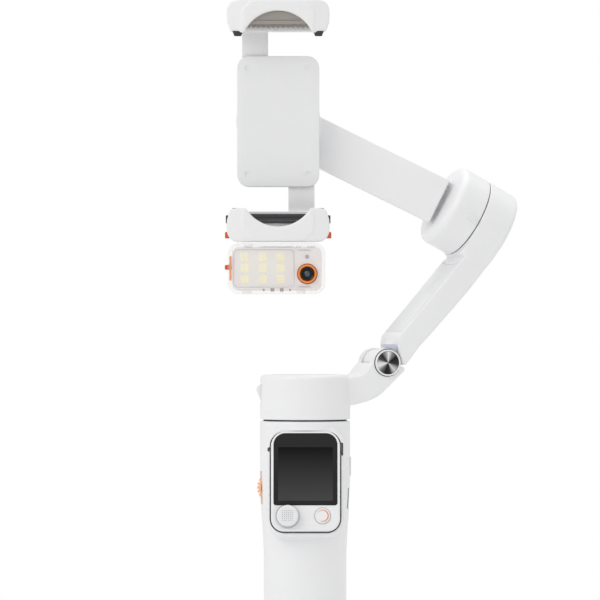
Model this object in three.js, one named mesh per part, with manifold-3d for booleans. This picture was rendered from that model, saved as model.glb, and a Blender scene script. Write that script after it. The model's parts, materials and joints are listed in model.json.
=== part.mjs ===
// Folding three-axis phone gimbal with a telescopic neck, a built-in tripod, a detachable
// remote control and a clip-on light and tracking-camera module.
// Millimetres. +Z up, +X to the user's right, +Y away from the user. The origin is the centre
// of the closed tripod's flat base, on the pan axis.
import * as THREE from "three";
import { mergeVertices } from "three/addons/utils/BufferGeometryUtils.js";
import Module from "manifold-3d";

const wasm = await Module();
wasm.setup();

// ---- Driving dimensions ----
const gap = 0.3; // between pieces that touch
const run = 0.4; // between pieces that move past each other
const past = 5; // how far a cutting tool overshoots the face it opens

const gripRadius = 17.05; // lower handle
const neckRadius = 18.6; // handle top and pan head
const handleTop = 149.7;
const flareStart = handleTop - 57.7; // height at which the grip begins to widen
const flareMid = handleTop - 37;
const flareEnd = handleTop - 24.7;
const handleWall = 1.8;
const collarHeight = 2.5; // rings that hold the rod inside the handle's two ends

const legLength = 53.4;
const legSpan = 116; // degrees of the handle's round that one leg covers
const legInner = 9;
const footThick = 5;
const hubFloor = 54.4;
const hubTop = 64.9;
const legPivotRadius = 14;
const legPivotHeight = 60.5;
const legTongueWidth = 8.4;
const legPinRadius = 1.2;

const rodOffset = 5.8; // rod axis behind the pan axis
const rodWall = 0.9;
const rodSleeveRadius = 8.8;
const rodFloor = 68.5;
const rodStages = 3;

const wheelRadius = 6.5;
const wheelWidth = 4.4;
const wheelHeight = handleTop - 27.5;
const wheelReach = neckRadius + 1.2; // how far left of the pan axis the wheel stands
const wheelY = -3.1;
const wheelTeeth = 24;

const remoteWidth = 29.1;
const remoteHeight = 41.6;
const remoteThick = 7.5;
const remoteCorner = 5.9;
const remoteLean = 8; // degrees
const remoteSeatY = -(neckRadius - 4.35); // the plane of the remote's back at its middle
const remoteCentre = [0.15, remoteSeatY - remoteThick / 2, handleTop - 24.9];
const remoteWall = 1.35;
const cradleRim = 1.2;
const glassWidth = 26;
const glassHeight = 29.5;
const glassThick = 0.9;
const glassTopMargin = 1.0;
const stickRadius = 4.5;
const stickPlace = [-7.45, -14.4];
const recordRadius = 3.2;
const recordPlace = [6.95, -14.5];

const headFloor = handleTop + 0.6;
const headTop = headFloor + 18.4;
const headWall = 1.8;
const headCapRadius = 13;
const tabLow = headFloor + 7.3;
const tabHigh = headFloor + 14.3;

const armYaw = 18; // degrees from the user's left-right line to the arm's plane
const armFront = 11.5; // arm faces, measured from the plane of the pan axis
const armBack = 11.5;
const kneeBack = 8.5;
const knee = [neckRadius + 13.4, headTop + 4.9]; // fold hinge, along the arm's plane and up
const kneeRadius = 5.9;
const kneePinRadius = 2.2;
const tongueFront = 5.7;
const tongueBack = 3.7;
const kneeCapThick = 1;
const kneeCapRadius = 5.45;

const tiltSeam = [knee[0] + 39.4, knee[1] + 60.2]; // centre of the tilt motor's seam
const tiltRise = 27.8; // degrees from level to the tilt axis
const tiltRadius = 17.5;
const tiltFixedDepth = 14.3;
const tiltMovingDepth = 13.2;
const motorWall = 2;

const clampX = -11.1; // clamp centre, also the roll axis
const clampZ = tiltSeam[1] + 39.5;
const rollRadius = 17.5;
const rollDepth = 14.5;
const rollSeamY = 9.3;
const barWidth = 19.5;
const barFront = rollSeamY + 3.1;
const barCoverSpan = [28.4, 61.3]; // distances along the bar from the roll axis
const barThick = 10.2;

const phoneThick = 8.2;
const phoneBackY = 0.6;
const phoneWidth = 77; // gap between the pads, as stored
const jawWidth = 42.6;
const jawFrontY = -11;
const jawBackY = 8.9;
const jawHeight = 9.7;
const lipOverlap = 2.2; // how far the front lips reach over the phone's face
const padThick = 1.4;
const stemWidth = 10.8;
const stemInset = 4.2; // from the clamp's middle to a stem's rack edge
const stemThick = 4;
const stemLength = 46;
const channelWidth = 34;
const channelHeight = 54;
const pinionRadius = 3.6;

const moduleWidth = 40.2;
const moduleHeight = 21.3;
const moduleThick = 12;
const moduleCorner = 5;
const moduleWall = 1.2;
const moduleBackY = -0.5;
const ledRows = 3;
const ledColumns = 3;
const ledSize = 3.2;
const cameraRadius = 3.9;
const lensRadius = 2.8;

const largeSides = 36; // facets round a casing, a motor part and a pin
const motorSides = 24;
const pinSides = 14;

// ---- Colours ----
const whiteShell = 0xeceef0;
const whiteSatin = 0xe6e8ea;
const warmGrey = 0xb7b0aa;
const darkRubber = 0x3a3b3d;
const steel = 0xb9bcc0;
const orange = 0xf28a3a;
const redOrange = 0xe2552c;
const blackGlass = 0x1b1c1f;
const greenBoard = 0x2f6b4a;
const copper = 0xb87946;
const clearPlastic = 0xe9e2de;
const ledYellow = 0xfdf4ce;

// ---- Shape helpers ----
const radians = THREE.MathUtils.degToRad;

function solid(geometry) {
  const bare = geometry.index ? geometry.toNonIndexed() : geometry.clone();
  const positions = new THREE.BufferGeometry();
  positions.setAttribute("position", bare.getAttribute("position"));
  const merged = mergeVertices(positions, 1e-3);
  const corners = merged.index.array;
  const faces = [];
  for (let i = 0; i < corners.length; i += 3) {
    const [a, b, c] = corners.slice(i, i + 3);
    if (a !== b && b !== c && c !== a) faces.push([a, b, c]);
  }
  const build = (triangles) =>
    new wasm.Manifold(
      new wasm.Mesh({
        numProp: 3,
        vertProperties: merged.attributes.position.array,
        triVerts: new Uint32Array(triangles.flat()),
      }),
    );
  const made = build(faces);
  return made.volume() < 0 ? build(faces.map(([a, b, c]) => [a, c, b])) : made;
}

function join(first, ...others) {
  return others.reduce((sum, other) => sum.add(other), first);
}

function cut(first, ...tools) {
  return tools.reduce((left, tool) => left.subtract(tool), first);
}

function box(x0, x1, y0, y1, z0, z1) {
  const geometry = new THREE.BoxGeometry(x1 - x0, y1 - y0, z1 - z0);
  return solid(geometry.translate((x0 + x1) / 2, (y0 + y1) / 2, (z0 + z1) / 2));
}

// A round bar from start to end.
function bar(radius, start, end, sides = pinSides) {
  const from = new THREE.Vector3(...start);
  const to = new THREE.Vector3(...end);
  const along = to.clone().sub(from);
  const geometry = new THREE.CylinderGeometry(radius, radius, along.length(), sides);
  const turn = new THREE.Quaternion().setFromUnitVectors(
    new THREE.Vector3(0, 1, 0),
    along.clone().normalize(),
  );
  geometry.applyQuaternion(turn);
  const middle = from.add(to).multiplyScalar(0.5);
  return solid(geometry.translate(middle.x, middle.y, middle.z));
}

// A body of revolution about Z from [radius, height] points in counterclockwise order.
function lathe(points, sides = largeSides) {
  const profile = points.map(([r, z]) => new THREE.Vector2(r, z));
  profile.push(profile[0].clone());
  const geometry = new THREE.LatheGeometry(profile, sides);
  return solid(geometry.rotateX(Math.PI / 2));
}

// An outline of [across, up] points, extruded along Y from y0 to y1.
function plate(outline, y0, y1) {
  const shape = new THREE.Shape(outline.map(([x, z]) => new THREE.Vector2(x, z)));
  const geometry = new THREE.ExtrudeGeometry(shape, { depth: y1 - y0, bevelEnabled: false });
  return solid(geometry.rotateX(Math.PI / 2).translate(0, y1, 0));
}

// A rounded rectangle in X and Z, extruded along Y.
function roundedPlate(x0, x1, z0, z1, corner, y0, y1, steps = 4) {
  const shape = new THREE.Shape();
  shape.moveTo(x0 + corner, z0);
  shape.absarc(x1 - corner, z0 + corner, corner, -Math.PI / 2, 0);
  shape.absarc(x1 - corner, z1 - corner, corner, 0, Math.PI / 2);
  shape.absarc(x0 + corner, z1 - corner, corner, Math.PI / 2, Math.PI);
  shape.absarc(x0 + corner, z0 + corner, corner, Math.PI, 1.5 * Math.PI);
  const options = { depth: y1 - y0, bevelEnabled: false, curveSegments: steps };
  const geometry = new THREE.ExtrudeGeometry(shape, options);
  return solid(geometry.rotateX(Math.PI / 2).translate(0, y1, 0));
}

// A wedge of a round, for cutting one sector out of a solid about Z.
function wedge(middleDegrees, spanDegrees, radius, z0, z1) {
  const steps = 8;
  const points = [new THREE.Vector2(0, 0)];
  for (let i = 0; i <= steps; i++) {
    const angle = radians(middleDegrees + spanDegrees * (i / steps - 0.5));
    points.push(new THREE.Vector2(radius * Math.cos(angle), radius * Math.sin(angle)));
  }
  const options = { depth: z1 - z0, bevelEnabled: false };
  return solid(new THREE.ExtrudeGeometry(new THREE.Shape(points), options).translate(0, 0, z0));
}

function turned(part, degrees) {
  return part.rotate([0, 0, degrees]);
}

const gimbal = new THREE.Group();

function add(parent, name, part, color, roughness = 0.4, metalness = 0) {
  const made = part.getMesh();
  const geometry = new THREE.BufferGeometry();
  geometry.setAttribute("position", new THREE.BufferAttribute(made.vertProperties, 3));
  geometry.setIndex(new THREE.BufferAttribute(made.triVerts, 1));
  geometry.computeVertexNormals();
  const material = new THREE.MeshStandardMaterial({ color, roughness, metalness });
  const mesh = new THREE.Mesh(geometry, material);
  mesh.name = name;
  parent.add(mesh);
}

function frameAt(parent, position, rotation) {
  const frame = new THREE.Group();
  frame.position.set(...position);
  frame.rotation.set(...rotation.map(radians));
  parent.add(frame);
  return frame;
}

// The stator and rotor of a brushless motor about Z, with the seam at height 0 and the
// fixed cup below it.
function stator(radius, depth) {
  const outer = radius - 5.2;
  const low = -depth + motorWall + gap;
  const high = -2.2;
  const bore = 4.2;
  let core = lathe([[bore, low], [outer, low], [outer, high], [bore, high]], motorSides);
  const slots = 9;
  for (let i = 0; i < slots; i++) {
    const slot = box(bore + 2.5, outer + past, -0.8, 0.8, low + 1.5, high + past);
    core = cut(core, turned(slot, (360 / slots) * i));
  }
  return core;
}

function rotor(radius, depth) {
  const rim = radius - motorWall - run;
  const low = -depth + motorWall + 1;
  const shaft = 3.6;
  return lathe(
    [[0, low], [shaft, low], [shaft, -1.8], [rim - 2.2, -1.8], [rim - 2.2, low], [rim, low],
      [rim, -run], [0, -run]],
    motorSides,
  );
}

// ---- Tripod: a hub under the handle and three legs that close into its lower end ----
const legAngles = [-90, 30, 150];
const tripod = frameAt(gimbal, [0, 0, 0], [0, 0, 0]);

function makeHub() {
  const side = [[0, hubFloor], [gripRadius, hubFloor], [gripRadius, hubTop], [0, hubTop]];
  let hub = lathe(side, largeSides);
  const half = legTongueWidth / 2 + run;
  const pocket = box(legInner - 0.8, gripRadius + past, -half, half, hubFloor - past, hubTop + past);
  const bore = bar(
    legPinRadius + gap,
    [legPivotRadius, -half - 2.8, legPivotHeight],
    [legPivotRadius, half + 2.8, legPivotHeight],
    pinSides,
  );
  for (const angle of legAngles) hub = cut(hub, turned(pocket, angle), turned(bore, angle));
  return hub;
}

// One leg, pointing along +X.
function makeLeg(withCentre) {
  const profile = [[legInner, 0], [gripRadius - 1, 0], [gripRadius, 1], [gripRadius, legLength],
    [legInner, legLength]];
  const footOuter = legInner + 1;
  const foot = lathe([[1.5, 0], [footOuter, 0], [footOuter, footThick], [1.5, footThick]]);
  let leg = join(lathe(profile, largeSides), foot);
  leg = leg.intersect(wedge(0, legSpan, gripRadius * 2, -past, legLength + past));
  const half = legTongueWidth / 2;
  const tongueTop = legPivotHeight + 3.1;
  const tongue = box(legInner + 0.4, gripRadius - 0.1, -half, half, legLength - 2, tongueTop);
  const bore = bar(
    legPinRadius + gap,
    [legPivotRadius, -half - past, legPivotHeight],
    [legPivotRadius, half + past, legPivotHeight],
    pinSides,
  );
  leg = cut(join(leg, tongue), bore);
  const centre = lathe([[0, 0], [3, 0], [3, footThick], [0, footThick]], pinSides);
  const roomRadius = 3 + gap;
  const roomSide = [[0, -past], [roomRadius, -past], [roomRadius, past * 2], [0, past * 2]];
  const room = lathe(roomSide, pinSides);
  return withCentre ? join(leg, centre) : cut(leg, room);
}

add(tripod, "tripod_hub", makeHub(), whiteSatin, 0.45);
legAngles.forEach((angle, i) => {
  add(tripod, "tripod_leg_" + (i + 1), turned(makeLeg(i === 0), angle), whiteShell, 0.4);
  const reach = legTongueWidth / 2 + run + 2.5;
  const pin = bar(
    legPinRadius,
    [legPivotRadius, -reach, legPivotHeight],
    [legPivotRadius, reach, legPivotHeight],
    pinSides,
  );
  add(tripod, "tripod_pin_" + (i + 1), turned(pin, angle), steel, 0.3, 0.9);
});

// ---- Telescopic rod ----
const rod = frameAt(gimbal, [0, rodOffset, 0], [0, 0, 0]);
const rodStep = rodWall + gap;

function tube(radius, low, high) {
  const inner = radius - rodWall;
  return lathe([[inner, low], [radius, low], [radius, high], [inner, high]], motorSides);
}

add(rod, "rod_sleeve", tube(rodSleeveRadius, rodFloor, handleTop - 1.5), steel, 0.35, 0.9);
for (let i = 1; i <= rodStages; i++) {
  const stage = tube(rodSleeveRadius - rodStep * i, rodFloor + 1 + i, handleTop - 0.9 + 0.3 * i);
  add(rod, "rod_stage_" + i, stage, steel, 0.3, 0.9);
}

// ---- Handle ----
const handle = frameAt(gimbal, [0, 0, 0], [0, 0, 0]);
const handleFloor = hubTop + gap;
const outline = [[gripRadius, handleFloor], [gripRadius, flareStart], [gripRadius + gap, flareMid],
  [neckRadius - 0.25, flareEnd - 2], [neckRadius, flareEnd], [neckRadius, handleTop]];

function handleBody() {
  const outer = lathe([[0, handleFloor], ...outline, [0, handleTop]], largeSides);
  const inside = outline
    .slice(1, -1)
    .map(([r, z]) => [r - handleWall, z]);
  const low = handleFloor + collarHeight;
  const high = handleTop - collarHeight;
  const cavity = lathe(
    [[0, low], [gripRadius - handleWall, low], ...inside, [neckRadius - handleWall, high], [0, high]],
    largeSides,
  );
  const rodBore = bar(
    rodSleeveRadius + gap,
    [0, rodOffset, rodFloor - 1],
    [0, rodOffset, handleTop + past],
    motorSides,
  );
  return cut(outer, cavity, rodBore);
}

// The remote's frame: X right, Y away from the user, Z up its face, before it leans back.
const remoteTurn = [-remoteLean, 0, 0];

function placedInRemote(part) {
  return part.rotate(remoteTurn).translate(remoteCentre);
}

function remoteBlock(grow, front, back) {
  const halfWidth = remoteWidth / 2 + grow;
  const halfHeight = remoteHeight / 2 + grow;
  return roundedPlate(-halfWidth, halfWidth, -halfHeight, halfHeight, remoteCorner + grow, front, back);
}

const remoteFront = -remoteThick / 2;
const remoteBack = remoteThick / 2;
const cradle = placedInRemote(remoteBlock(cradleRim, remoteFront + 3, remoteBack + 1.6));
const cradlePocket = placedInRemote(remoteBlock(gap, remoteFront - past, remoteBack + gap));

const wheelX = wheelRadius - wheelReach;
const wheelSide = wheelWidth / 2 + run;
const wheelSlot = box(-neckRadius - past, wheelX + wheelRadius / 2, wheelY - wheelSide, 0,
  wheelHeight - wheelRadius - run, wheelHeight + wheelRadius + run);
const powerLow = handleTop - 22.7;
const powerHigh = handleTop - 14.9;
const powerSide = 3;
const windowDepth = neckRadius - 4.6;
const powerSlot = box(windowDepth, neckRadius + past, -powerSide - gap, powerSide + gap,
  powerLow - gap, powerHigh + gap);
const flapLow = handleTop - 36;
const flapHigh = handleTop - 27.7;
const flapSide = 2.1;
const flapSlot = box(gripRadius - 3, neckRadius + past, -flapSide - gap, flapSide + gap,
  flapLow - gap, flapHigh + gap);
const openings = [cradlePocket, wheelSlot, powerSlot, flapSlot];

const triggerPivot = [neckRadius + 1.4, handleTop - 11.2]; // along Y and up
const triggerWidth = 10;
const lugInner = triggerWidth / 2 + run;
const lugOuter = lugInner + 2;

function triggerLugs() {
  const lug = (x0, x1) => box(x0, x1, neckRadius - 5, triggerPivot[0] + 2,
    triggerPivot[1] - 3, triggerPivot[1] + 3);
  const bore = bar(1.3, [-lugOuter - past, ...triggerPivot], [lugOuter + past, ...triggerPivot], pinSides);
  return cut(join(lug(lugInner, lugOuter), lug(-lugOuter, -lugInner)), bore);
}

const wholeHandle = handleBody();
const frontSide = box(-50, 50, -50, -gap / 2, 0, 400);
const backSide = box(-50, 50, gap / 2, 50, 0, 400);
const frontShell = cut(join(wholeHandle.intersect(frontSide), cradle.intersect(frontSide)), ...openings);
const lugEnds = [flareEnd + 1, handleTop - collarHeight].map((height) => [0, 0, height]);
const boreForLugs = bar(neckRadius - handleWall, ...lugEnds, largeSides);
const rearShell = cut(
  join(wholeHandle.intersect(backSide), cut(triggerLugs(), boreForLugs)),
  ...openings,
);
add(handle, "handle_front_shell", frontShell, whiteShell, 0.35);
add(handle, "handle_rear_shell", rearShell, whiteShell, 0.35);
add(handle, "battery_pack", box(-8.5, 8.5, -12, -4.5, rodFloor + 0.5, 100), 0x4a6fa5, 0.5);
add(handle, "main_board", box(4.5, 5.7, -8.8, -2.4, handleTop - 45.7, handleTop - 4.7), greenBoard, 0.5);
const socket = box(gripRadius - 6, gripRadius - 1.65, -1.8, 3.2, flapLow + 0.5, flapHigh - 0.5);
add(handle, "charging_socket", socket, steel, 0.3, 0.9);
const flap = box(gripRadius - 1.15, gripRadius + 0.5, -flapSide, flapSide, flapLow, flapHigh);
add(handle, "port_flap", flap, whiteSatin, 0.6);
const power = box(neckRadius - 3, neckRadius + 0.4, -powerSide, powerSide, powerLow, powerHigh);
add(handle, "power_button", power, whiteSatin, 0.4);

function makeZoomWheel() {
  const points = [];
  for (let i = 0; i < wheelTeeth * 2; i++) {
    const angle = (Math.PI * i) / wheelTeeth;
    const radius = wheelRadius - (i % 2) * 0.6;
    points.push([wheelX + radius * Math.cos(angle), wheelHeight + radius * Math.sin(angle)]);
  }
  const wheel = plate(points, wheelY - wheelWidth / 2, wheelY + wheelWidth / 2);
  const bore = bar(1.6, [wheelX, wheelY - past, wheelHeight], [wheelX, wheelY + past, wheelHeight], pinSides);
  return cut(wheel, bore);
}

add(handle, "zoom_wheel", makeZoomWheel(), orange, 0.45);
const axleEnds = [-3.4, 3.4].map((reach) => [wheelX, wheelY + reach, wheelHeight]);
add(handle, "wheel_axle", bar(1.2, ...axleEnds, pinSides), steel, 0.3, 0.9);

function makeTrigger() {
  const [y, z] = triggerPivot;
  const side = new THREE.Shape();
  side.moveTo(y - 0.9, z + 1.6);
  side.lineTo(y + 1.4, z + 1.6);
  side.quadraticCurveTo(y + 4.2, z - 6, y + 2.6, z - 13);
  side.quadraticCurveTo(y + 2.6, z - 18, y + 5, z - 21);
  side.lineTo(y + 3.2, z - 21.5);
  side.quadraticCurveTo(y + 0.8, z - 18, y + 0.9, z - 12);
  side.quadraticCurveTo(y + 1.4, z - 6, y - 0.9, z - 2);
  const options = { depth: triggerWidth, bevelEnabled: false, curveSegments: 6 };
  const geometry = new THREE.ExtrudeGeometry(side, options);
  geometry.translate(0, 0, -triggerWidth / 2);
  geometry.applyMatrix4(new THREE.Matrix4().set(0, 0, 1, 0, 1, 0, 0, 0, 0, 1, 0, 0, 0, 0, 0, 1));
  const bore = bar(1.3, [-20, ...triggerPivot], [20, ...triggerPivot], pinSides);
  return cut(solid(geometry), bore);
}

add(handle, "trigger", makeTrigger(), whiteSatin, 0.4);
const triggerPinEnds = [-1, 1].map((side) => [side * lugOuter, ...triggerPivot]);
add(handle, "trigger_pin", bar(1, ...triggerPinEnds, pinSides), steel, 0.3, 0.9);

// ---- Remote control ----
const remote = frameAt(gimbal, remoteCentre, remoteTurn);
const glassHigh = remoteHeight / 2 - glassTopMargin;
const glassLow = glassHigh - glassHeight;
const glassSeat = roundedPlate(-glassWidth / 2 - gap / 2, glassWidth / 2 + gap / 2,
  glassLow - gap / 2, glassHigh + gap / 2, 2, remoteFront - past, remoteFront + glassThick);
const backSeat = remoteBlock(-remoteWall + gap, remoteBack - 1.3, remoteBack + past);
const remoteCavity = remoteBlock(-remoteWall - 0.4, remoteFront + glassThick + 0.7, remoteBack + past);
const through = (place, radius) =>
  bar(radius, [place[0], remoteFront - past, place[1]], [place[0], 0, place[1]], motorSides);
const remoteShell = cut(
  remoteBlock(0, remoteFront, remoteBack),
  remoteCavity,
  backSeat,
  glassSeat,
  through(stickPlace, stickRadius - 0.7),
  through(recordPlace, recordRadius + gap),
);
add(remote, "remote_shell", remoteShell, whiteShell, 0.35);
add(remote, "remote_back", remoteBlock(-remoteWall, remoteBack - 1, remoteBack), whiteSatin, 0.45);
const glass = roundedPlate(-glassWidth / 2, glassWidth / 2, glassLow, glassHigh, 2,
  remoteFront - 0.1, remoteFront + glassThick - gap);
add(remote, "screen_glass", glass, blackGlass, 0.12);
const [stickX, stickZ] = stickPlace;
const yokeHalf = 2.8;
const yoke = box(stickX - yokeHalf, stickX + yokeHalf, -0.2, 1.4, stickZ - yokeHalf, stickZ + yokeHalf);
add(remote, "joystick_yoke", yoke, darkRubber, 0.6);
const capBack = remoteFront - 1.5;
const stickCap = join(
  bar(stickRadius, [stickX, capBack - 2, stickZ], [stickX, capBack, stickZ], motorSides),
  bar(stickRadius - 0.8, [stickX, capBack - 2.5, stickZ], [stickX, capBack - 1, stickZ], motorSides),
  bar(1.5, [stickX, capBack - 1, stickZ], [stickX, -0.5, stickZ], pinSides),
);
add(remote, "joystick_cap", stickCap, whiteSatin, 0.6);
const [recordX, recordZ] = recordPlace;
const recordEnds = [remoteFront - 0.7, remoteFront + 2.6].map((y) => [recordX, y, recordZ]);
add(remote, "record_button", bar(recordRadius, ...recordEnds, motorSides), whiteShell, 0.3);

// ---- Pan head, turning on the top rod stage ----
const head = frameAt(gimbal, [0, 0, 0], [0, 0, 0]);
const panPlane = headTop - 4;
const panDepth = panPlane - headFloor - 2.5;
const panBase = lathe([[0, headFloor + 0.4], [neckRadius - headWall - run, headFloor + 0.4],
  [neckRadius - headWall - run, headFloor + 2], [0, headFloor + 2]], largeSides);
const panCore = stator(neckRadius, panDepth).translate([0, 0, panPlane]);
const panPost = lathe([[4.2, headFloor + 1], [7, headFloor + 1], [7, panPlane - panDepth + 3],
  [4.2, panPlane - panDepth + 3]], motorSides);
add(head, "pan_stator", join(panBase, panCore, panPost), copper, 0.4, 0.6);
add(head, "pan_rotor", rotor(neckRadius, panDepth).translate([0, 0, panPlane]), steel, 0.35, 0.8);

const arm = frameAt(gimbal, [0, 0, 0], [0, 0, armYaw]);
const yawed = (part) => turned(part, armYaw);

const [hingeU, hingeZ] = knee;
const along = (radius, y0, y1, sides) =>
  bar(radius, [hingeU, y0, hingeZ], [hingeU, y1, hingeZ], sides);
const fromKnee = (points) => points.map(([u, z]) => [knee[0] + u, knee[1] + z]);

function makePanArm() {
  const shell = lathe([[0, headFloor], [neckRadius, headFloor], [neckRadius, headTop - 2],
    [neckRadius - 0.6, headTop - 0.6], [neckRadius - 2, headTop], [0, headTop]], largeSides);
  const beam = plate(
    fromKnee([[-23, -16.4], [-14.6, -17.5], [-7.4, -15.6], [-3.1, -13.2], [6.75, -3.1], [5.4, -1.7],
      [0, 3], [-5.6, 0.5], [-6.9, -0.2], [-8.7, -2.6], [-10.5, -5.2], [-23, -5.2]]),
    -armFront, kneeBack,
  );
  const knuckle = bar(kneeRadius, [hingeU, -armFront, hingeZ], [hingeU, kneeBack, hingeZ], largeSides);
  const slot = join(
    along(kneeRadius + run, -tongueFront - run, tongueBack + run, largeSides),
    box(hingeU, hingeU + 20, -tongueFront - run, tongueBack + run, hingeZ - 1.6, hingeZ + 20),
  );
  const pinBore = bar(kneePinRadius + gap, [hingeU, -30, hingeZ], [hingeU, 30, hingeZ], pinSides);
  const lowerArm = cut(join(beam, knuckle), slot, pinBore);
  const cavity = lathe([[0, headFloor - past], [neckRadius - headWall, headFloor - past],
    [neckRadius - headWall, headTop - 3], [0, headTop - 3]], largeSides);
  const capSeat = lathe([[0, headTop - 1.2], [headCapRadius + gap, headTop - 1.2],
    [headCapRadius + gap, headTop + past], [0, headTop + past]], largeSides);
  const tabSlot = box(-neckRadius - past, 3.6 - neckRadius, -4.8, 6.2, tabLow - gap, tabHigh + gap);
  return cut(join(shell, yawed(lowerArm)), cavity, capSeat, tabSlot);
}

add(head, "pan_arm", makePanArm(), whiteShell, 0.35);
const capLow = headTop - 1.2 + gap;
const headCap = lathe([[0, capLow], [headCapRadius, capLow], [headCapRadius, headTop - 0.1],
  [0, headTop - 0.1]], largeSides);
add(head, "head_cap", headCap, whiteSatin, 0.4);

function makeLockTab() {
  const [root, low, tip] = [2.2, -0.3, -1.5].map((inward) => inward - neckRadius);
  const side = [[root, tabLow], [low, tabLow], [tip, tabHigh - 1.2], [tip, tabHigh], [root, tabHigh]];
  let tab = plate(side, -4.5, 2.5);
  const ribs = 3;
  for (let i = 0; i < ribs; i++) {
    const y = -2.9 + 1.8 * i;
    tab = cut(tab, box(-50, -neckRadius - 0.8, y, y + 0.7, tabLow - past, tabHigh + past));
  }
  return tab;
}

add(head, "lock_tab", makeLockTab(), whiteSatin, 0.45);

add(arm, "fold_pin", along(kneePinRadius, -armFront, kneeBack, pinSides), steel, 0.3, 0.9);
const capReach = gap + kneeCapThick;
const frontCap = along(kneeCapRadius, -armFront - capReach, -armFront - gap, largeSides);
add(arm, "fold_cap_front", frontCap, steel, 0.3, 0.9);
const rearCap = along(kneeCapRadius, kneeBack + gap, kneeBack + capReach, largeSides);
add(arm, "fold_cap_rear", rearCap, steel, 0.3, 0.9);

// ---- Upper arm, folding at the knee and ending in the tilt motor ----
const tiltTurn = [0, tiltRise - 90, 0];
const tiltPlace = [tiltSeam[0], 0, tiltSeam[1]];
const inTilt = (part) => part.rotate(tiltTurn).translate(tiltPlace);

function makeUpperArm() {
  const beam = plate(
    fromKnee([[7.8, -1.2], [7.1, -1.2], [5.7, 1.5], [3.5, 7], [4.5, 10.4], [16.8, 24.1], [32.6, 42.6],
      [40, 48.4], [56.4, 64.4], [56.1, 61.1], [53.5, 54.3], [50, 47.7], [46.4, 42.6], [35.6, 29.6],
      [21.2, 13.9], [13.9, 6.3]]),
    -armFront, armBack,
  );
  const nearKnee = join(
    along(kneeRadius + run, -armFront - past, -tongueFront, largeSides),
    along(kneeRadius + run, tongueBack, armBack + past, largeSides),
  );
  const web = plate(
    fromKnee([[0, -1], [7, -0.6], [9, 2.4], [7, 12.4], [1, 5.2]]),
    -tongueFront, tongueBack,
  );
  const tongue = along(kneeRadius - 0.3, -tongueFront, tongueBack, largeSides);
  const pinBore = along(kneePinRadius + gap, -30, 30, pinSides);
  const depth = tiltFixedDepth;
  const cup = inTilt(lathe([[0, -depth], [tiltRadius - 2, -depth], [tiltRadius - 0.6, -depth + 0.6],
    [tiltRadius, -depth + 2], [tiltRadius, -gap / 2], [0, -gap / 2]], largeSides));
  const seamCut = inTilt(box(-40, 40, -40, 40, -gap / 2, 60));
  const cavity = inTilt(lathe([[0, -depth + motorWall], [tiltRadius - motorWall, -depth + motorWall],
    [tiltRadius - motorWall, past], [0, past]], largeSides));
  const body = cut(join(cut(beam, nearKnee), web, tongue), pinBore);
  const coverSeat = stripOnArm(gap, armFront * 2 - 6, 1.3);
  return cut(join(cut(body, seamCut), cup), cavity, coverSeat);
}

// The wiring cover let into the arm's inner side, between two points of that side.
function stripOnArm(grow, width, depth) {
  const [low, high] = fromKnee([[6.7, 12.8], [30.4, 40]]).map((p) => new THREE.Vector2(...p));
  const inward = new THREE.Vector2(high.y - low.y, low.x - high.x).normalize();
  const alongSide = high.clone().sub(low).normalize().multiplyScalar(grow);
  const floor = depth - grow;
  const corners = [
    low.clone().sub(alongSide).addScaledVector(inward, -grow * 4),
    high.clone().add(alongSide).addScaledVector(inward, -grow * 4),
    high.clone().add(alongSide).addScaledVector(inward, floor + grow),
    low.clone().sub(alongSide).addScaledVector(inward, floor + grow),
  ];
  return plate(corners.map((p) => [p.x, p.y]), -width / 2 - grow, width / 2 + grow);
}

add(arm, "upper_arm", makeUpperArm(), whiteShell, 0.35);
add(arm, "arm_wiring_cover", stripOnArm(0, armFront * 2 - 6, 1), whiteSatin, 0.4);
const tilt = frameAt(arm, tiltPlace, tiltTurn);
add(tilt, "tilt_stator", stator(tiltRadius, tiltFixedDepth), copper, 0.4, 0.6);

// ---- Tilt arm, from the tilt motor round the back of the clamp to the roll motor ----
const inTiltWorld = (part) => yawed(inTilt(part));

// The centre of the moving cup's far end, across and up.
const barEnd = new THREE.Vector2(
  (tiltSeam[0] - tiltMovingDepth * Math.cos(radians(tiltRise))) * Math.cos(radians(armYaw)),
  tiltSeam[1] + tiltMovingDepth * Math.sin(radians(tiltRise)),
);

function makeTiltArm() {
  const depth = tiltMovingDepth;
  const cup = inTiltWorld(lathe([[0, gap / 2], [tiltRadius, gap / 2], [tiltRadius, depth - 3],
    [tiltRadius - 0.9, depth - 0.9], [tiltRadius - 3, depth], [0, depth]], largeSides));
  const cupCavity = inTiltWorld(lathe([[0, -past], [tiltRadius - motorWall, -past],
    [tiltRadius - motorWall, depth - 3.2], [0, depth - 3.2]], largeSides));
  const lug = inTiltWorld(box(-1.3, 1.3, -tiltRadius - 0.7, -tiltRadius + 2, 0.6, 5.6));
  const rollBack = rollSeamY + rollDepth;
  const frontY = rollSeamY + gap / 2;
  const housing = bar(rollRadius, [clampX, frontY, clampZ], [clampX, rollBack, clampZ], largeSides);
  const rollCavity = bar(rollRadius - motorWall, [clampX, frontY - past, clampZ],
    [clampX, rollBack - motorWall, clampZ], largeSides);
  const start = new THREE.Vector2(clampX, clampZ);
  const dir = barEnd.clone().sub(start).normalize();
  const side = new THREE.Vector2(-dir.y, dir.x).multiplyScalar(barWidth / 2);
  const end = barEnd.clone().addScaledVector(dir, -1);
  const corners = [start.clone().add(side), start.clone().sub(side), end.clone().sub(side),
    end.clone().add(side)];
  const beam = plate(corners.map((p) => [p.x, p.y]), barFront, barFront + barThick);
  const coverSeat = tiltBarCover(gap, barFront + barThick - 1.3, barFront + barThick + past);
  return cut(join(cup, cut(join(housing, beam), rollCavity), lug), cupCavity, coverSeat);
}

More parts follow.
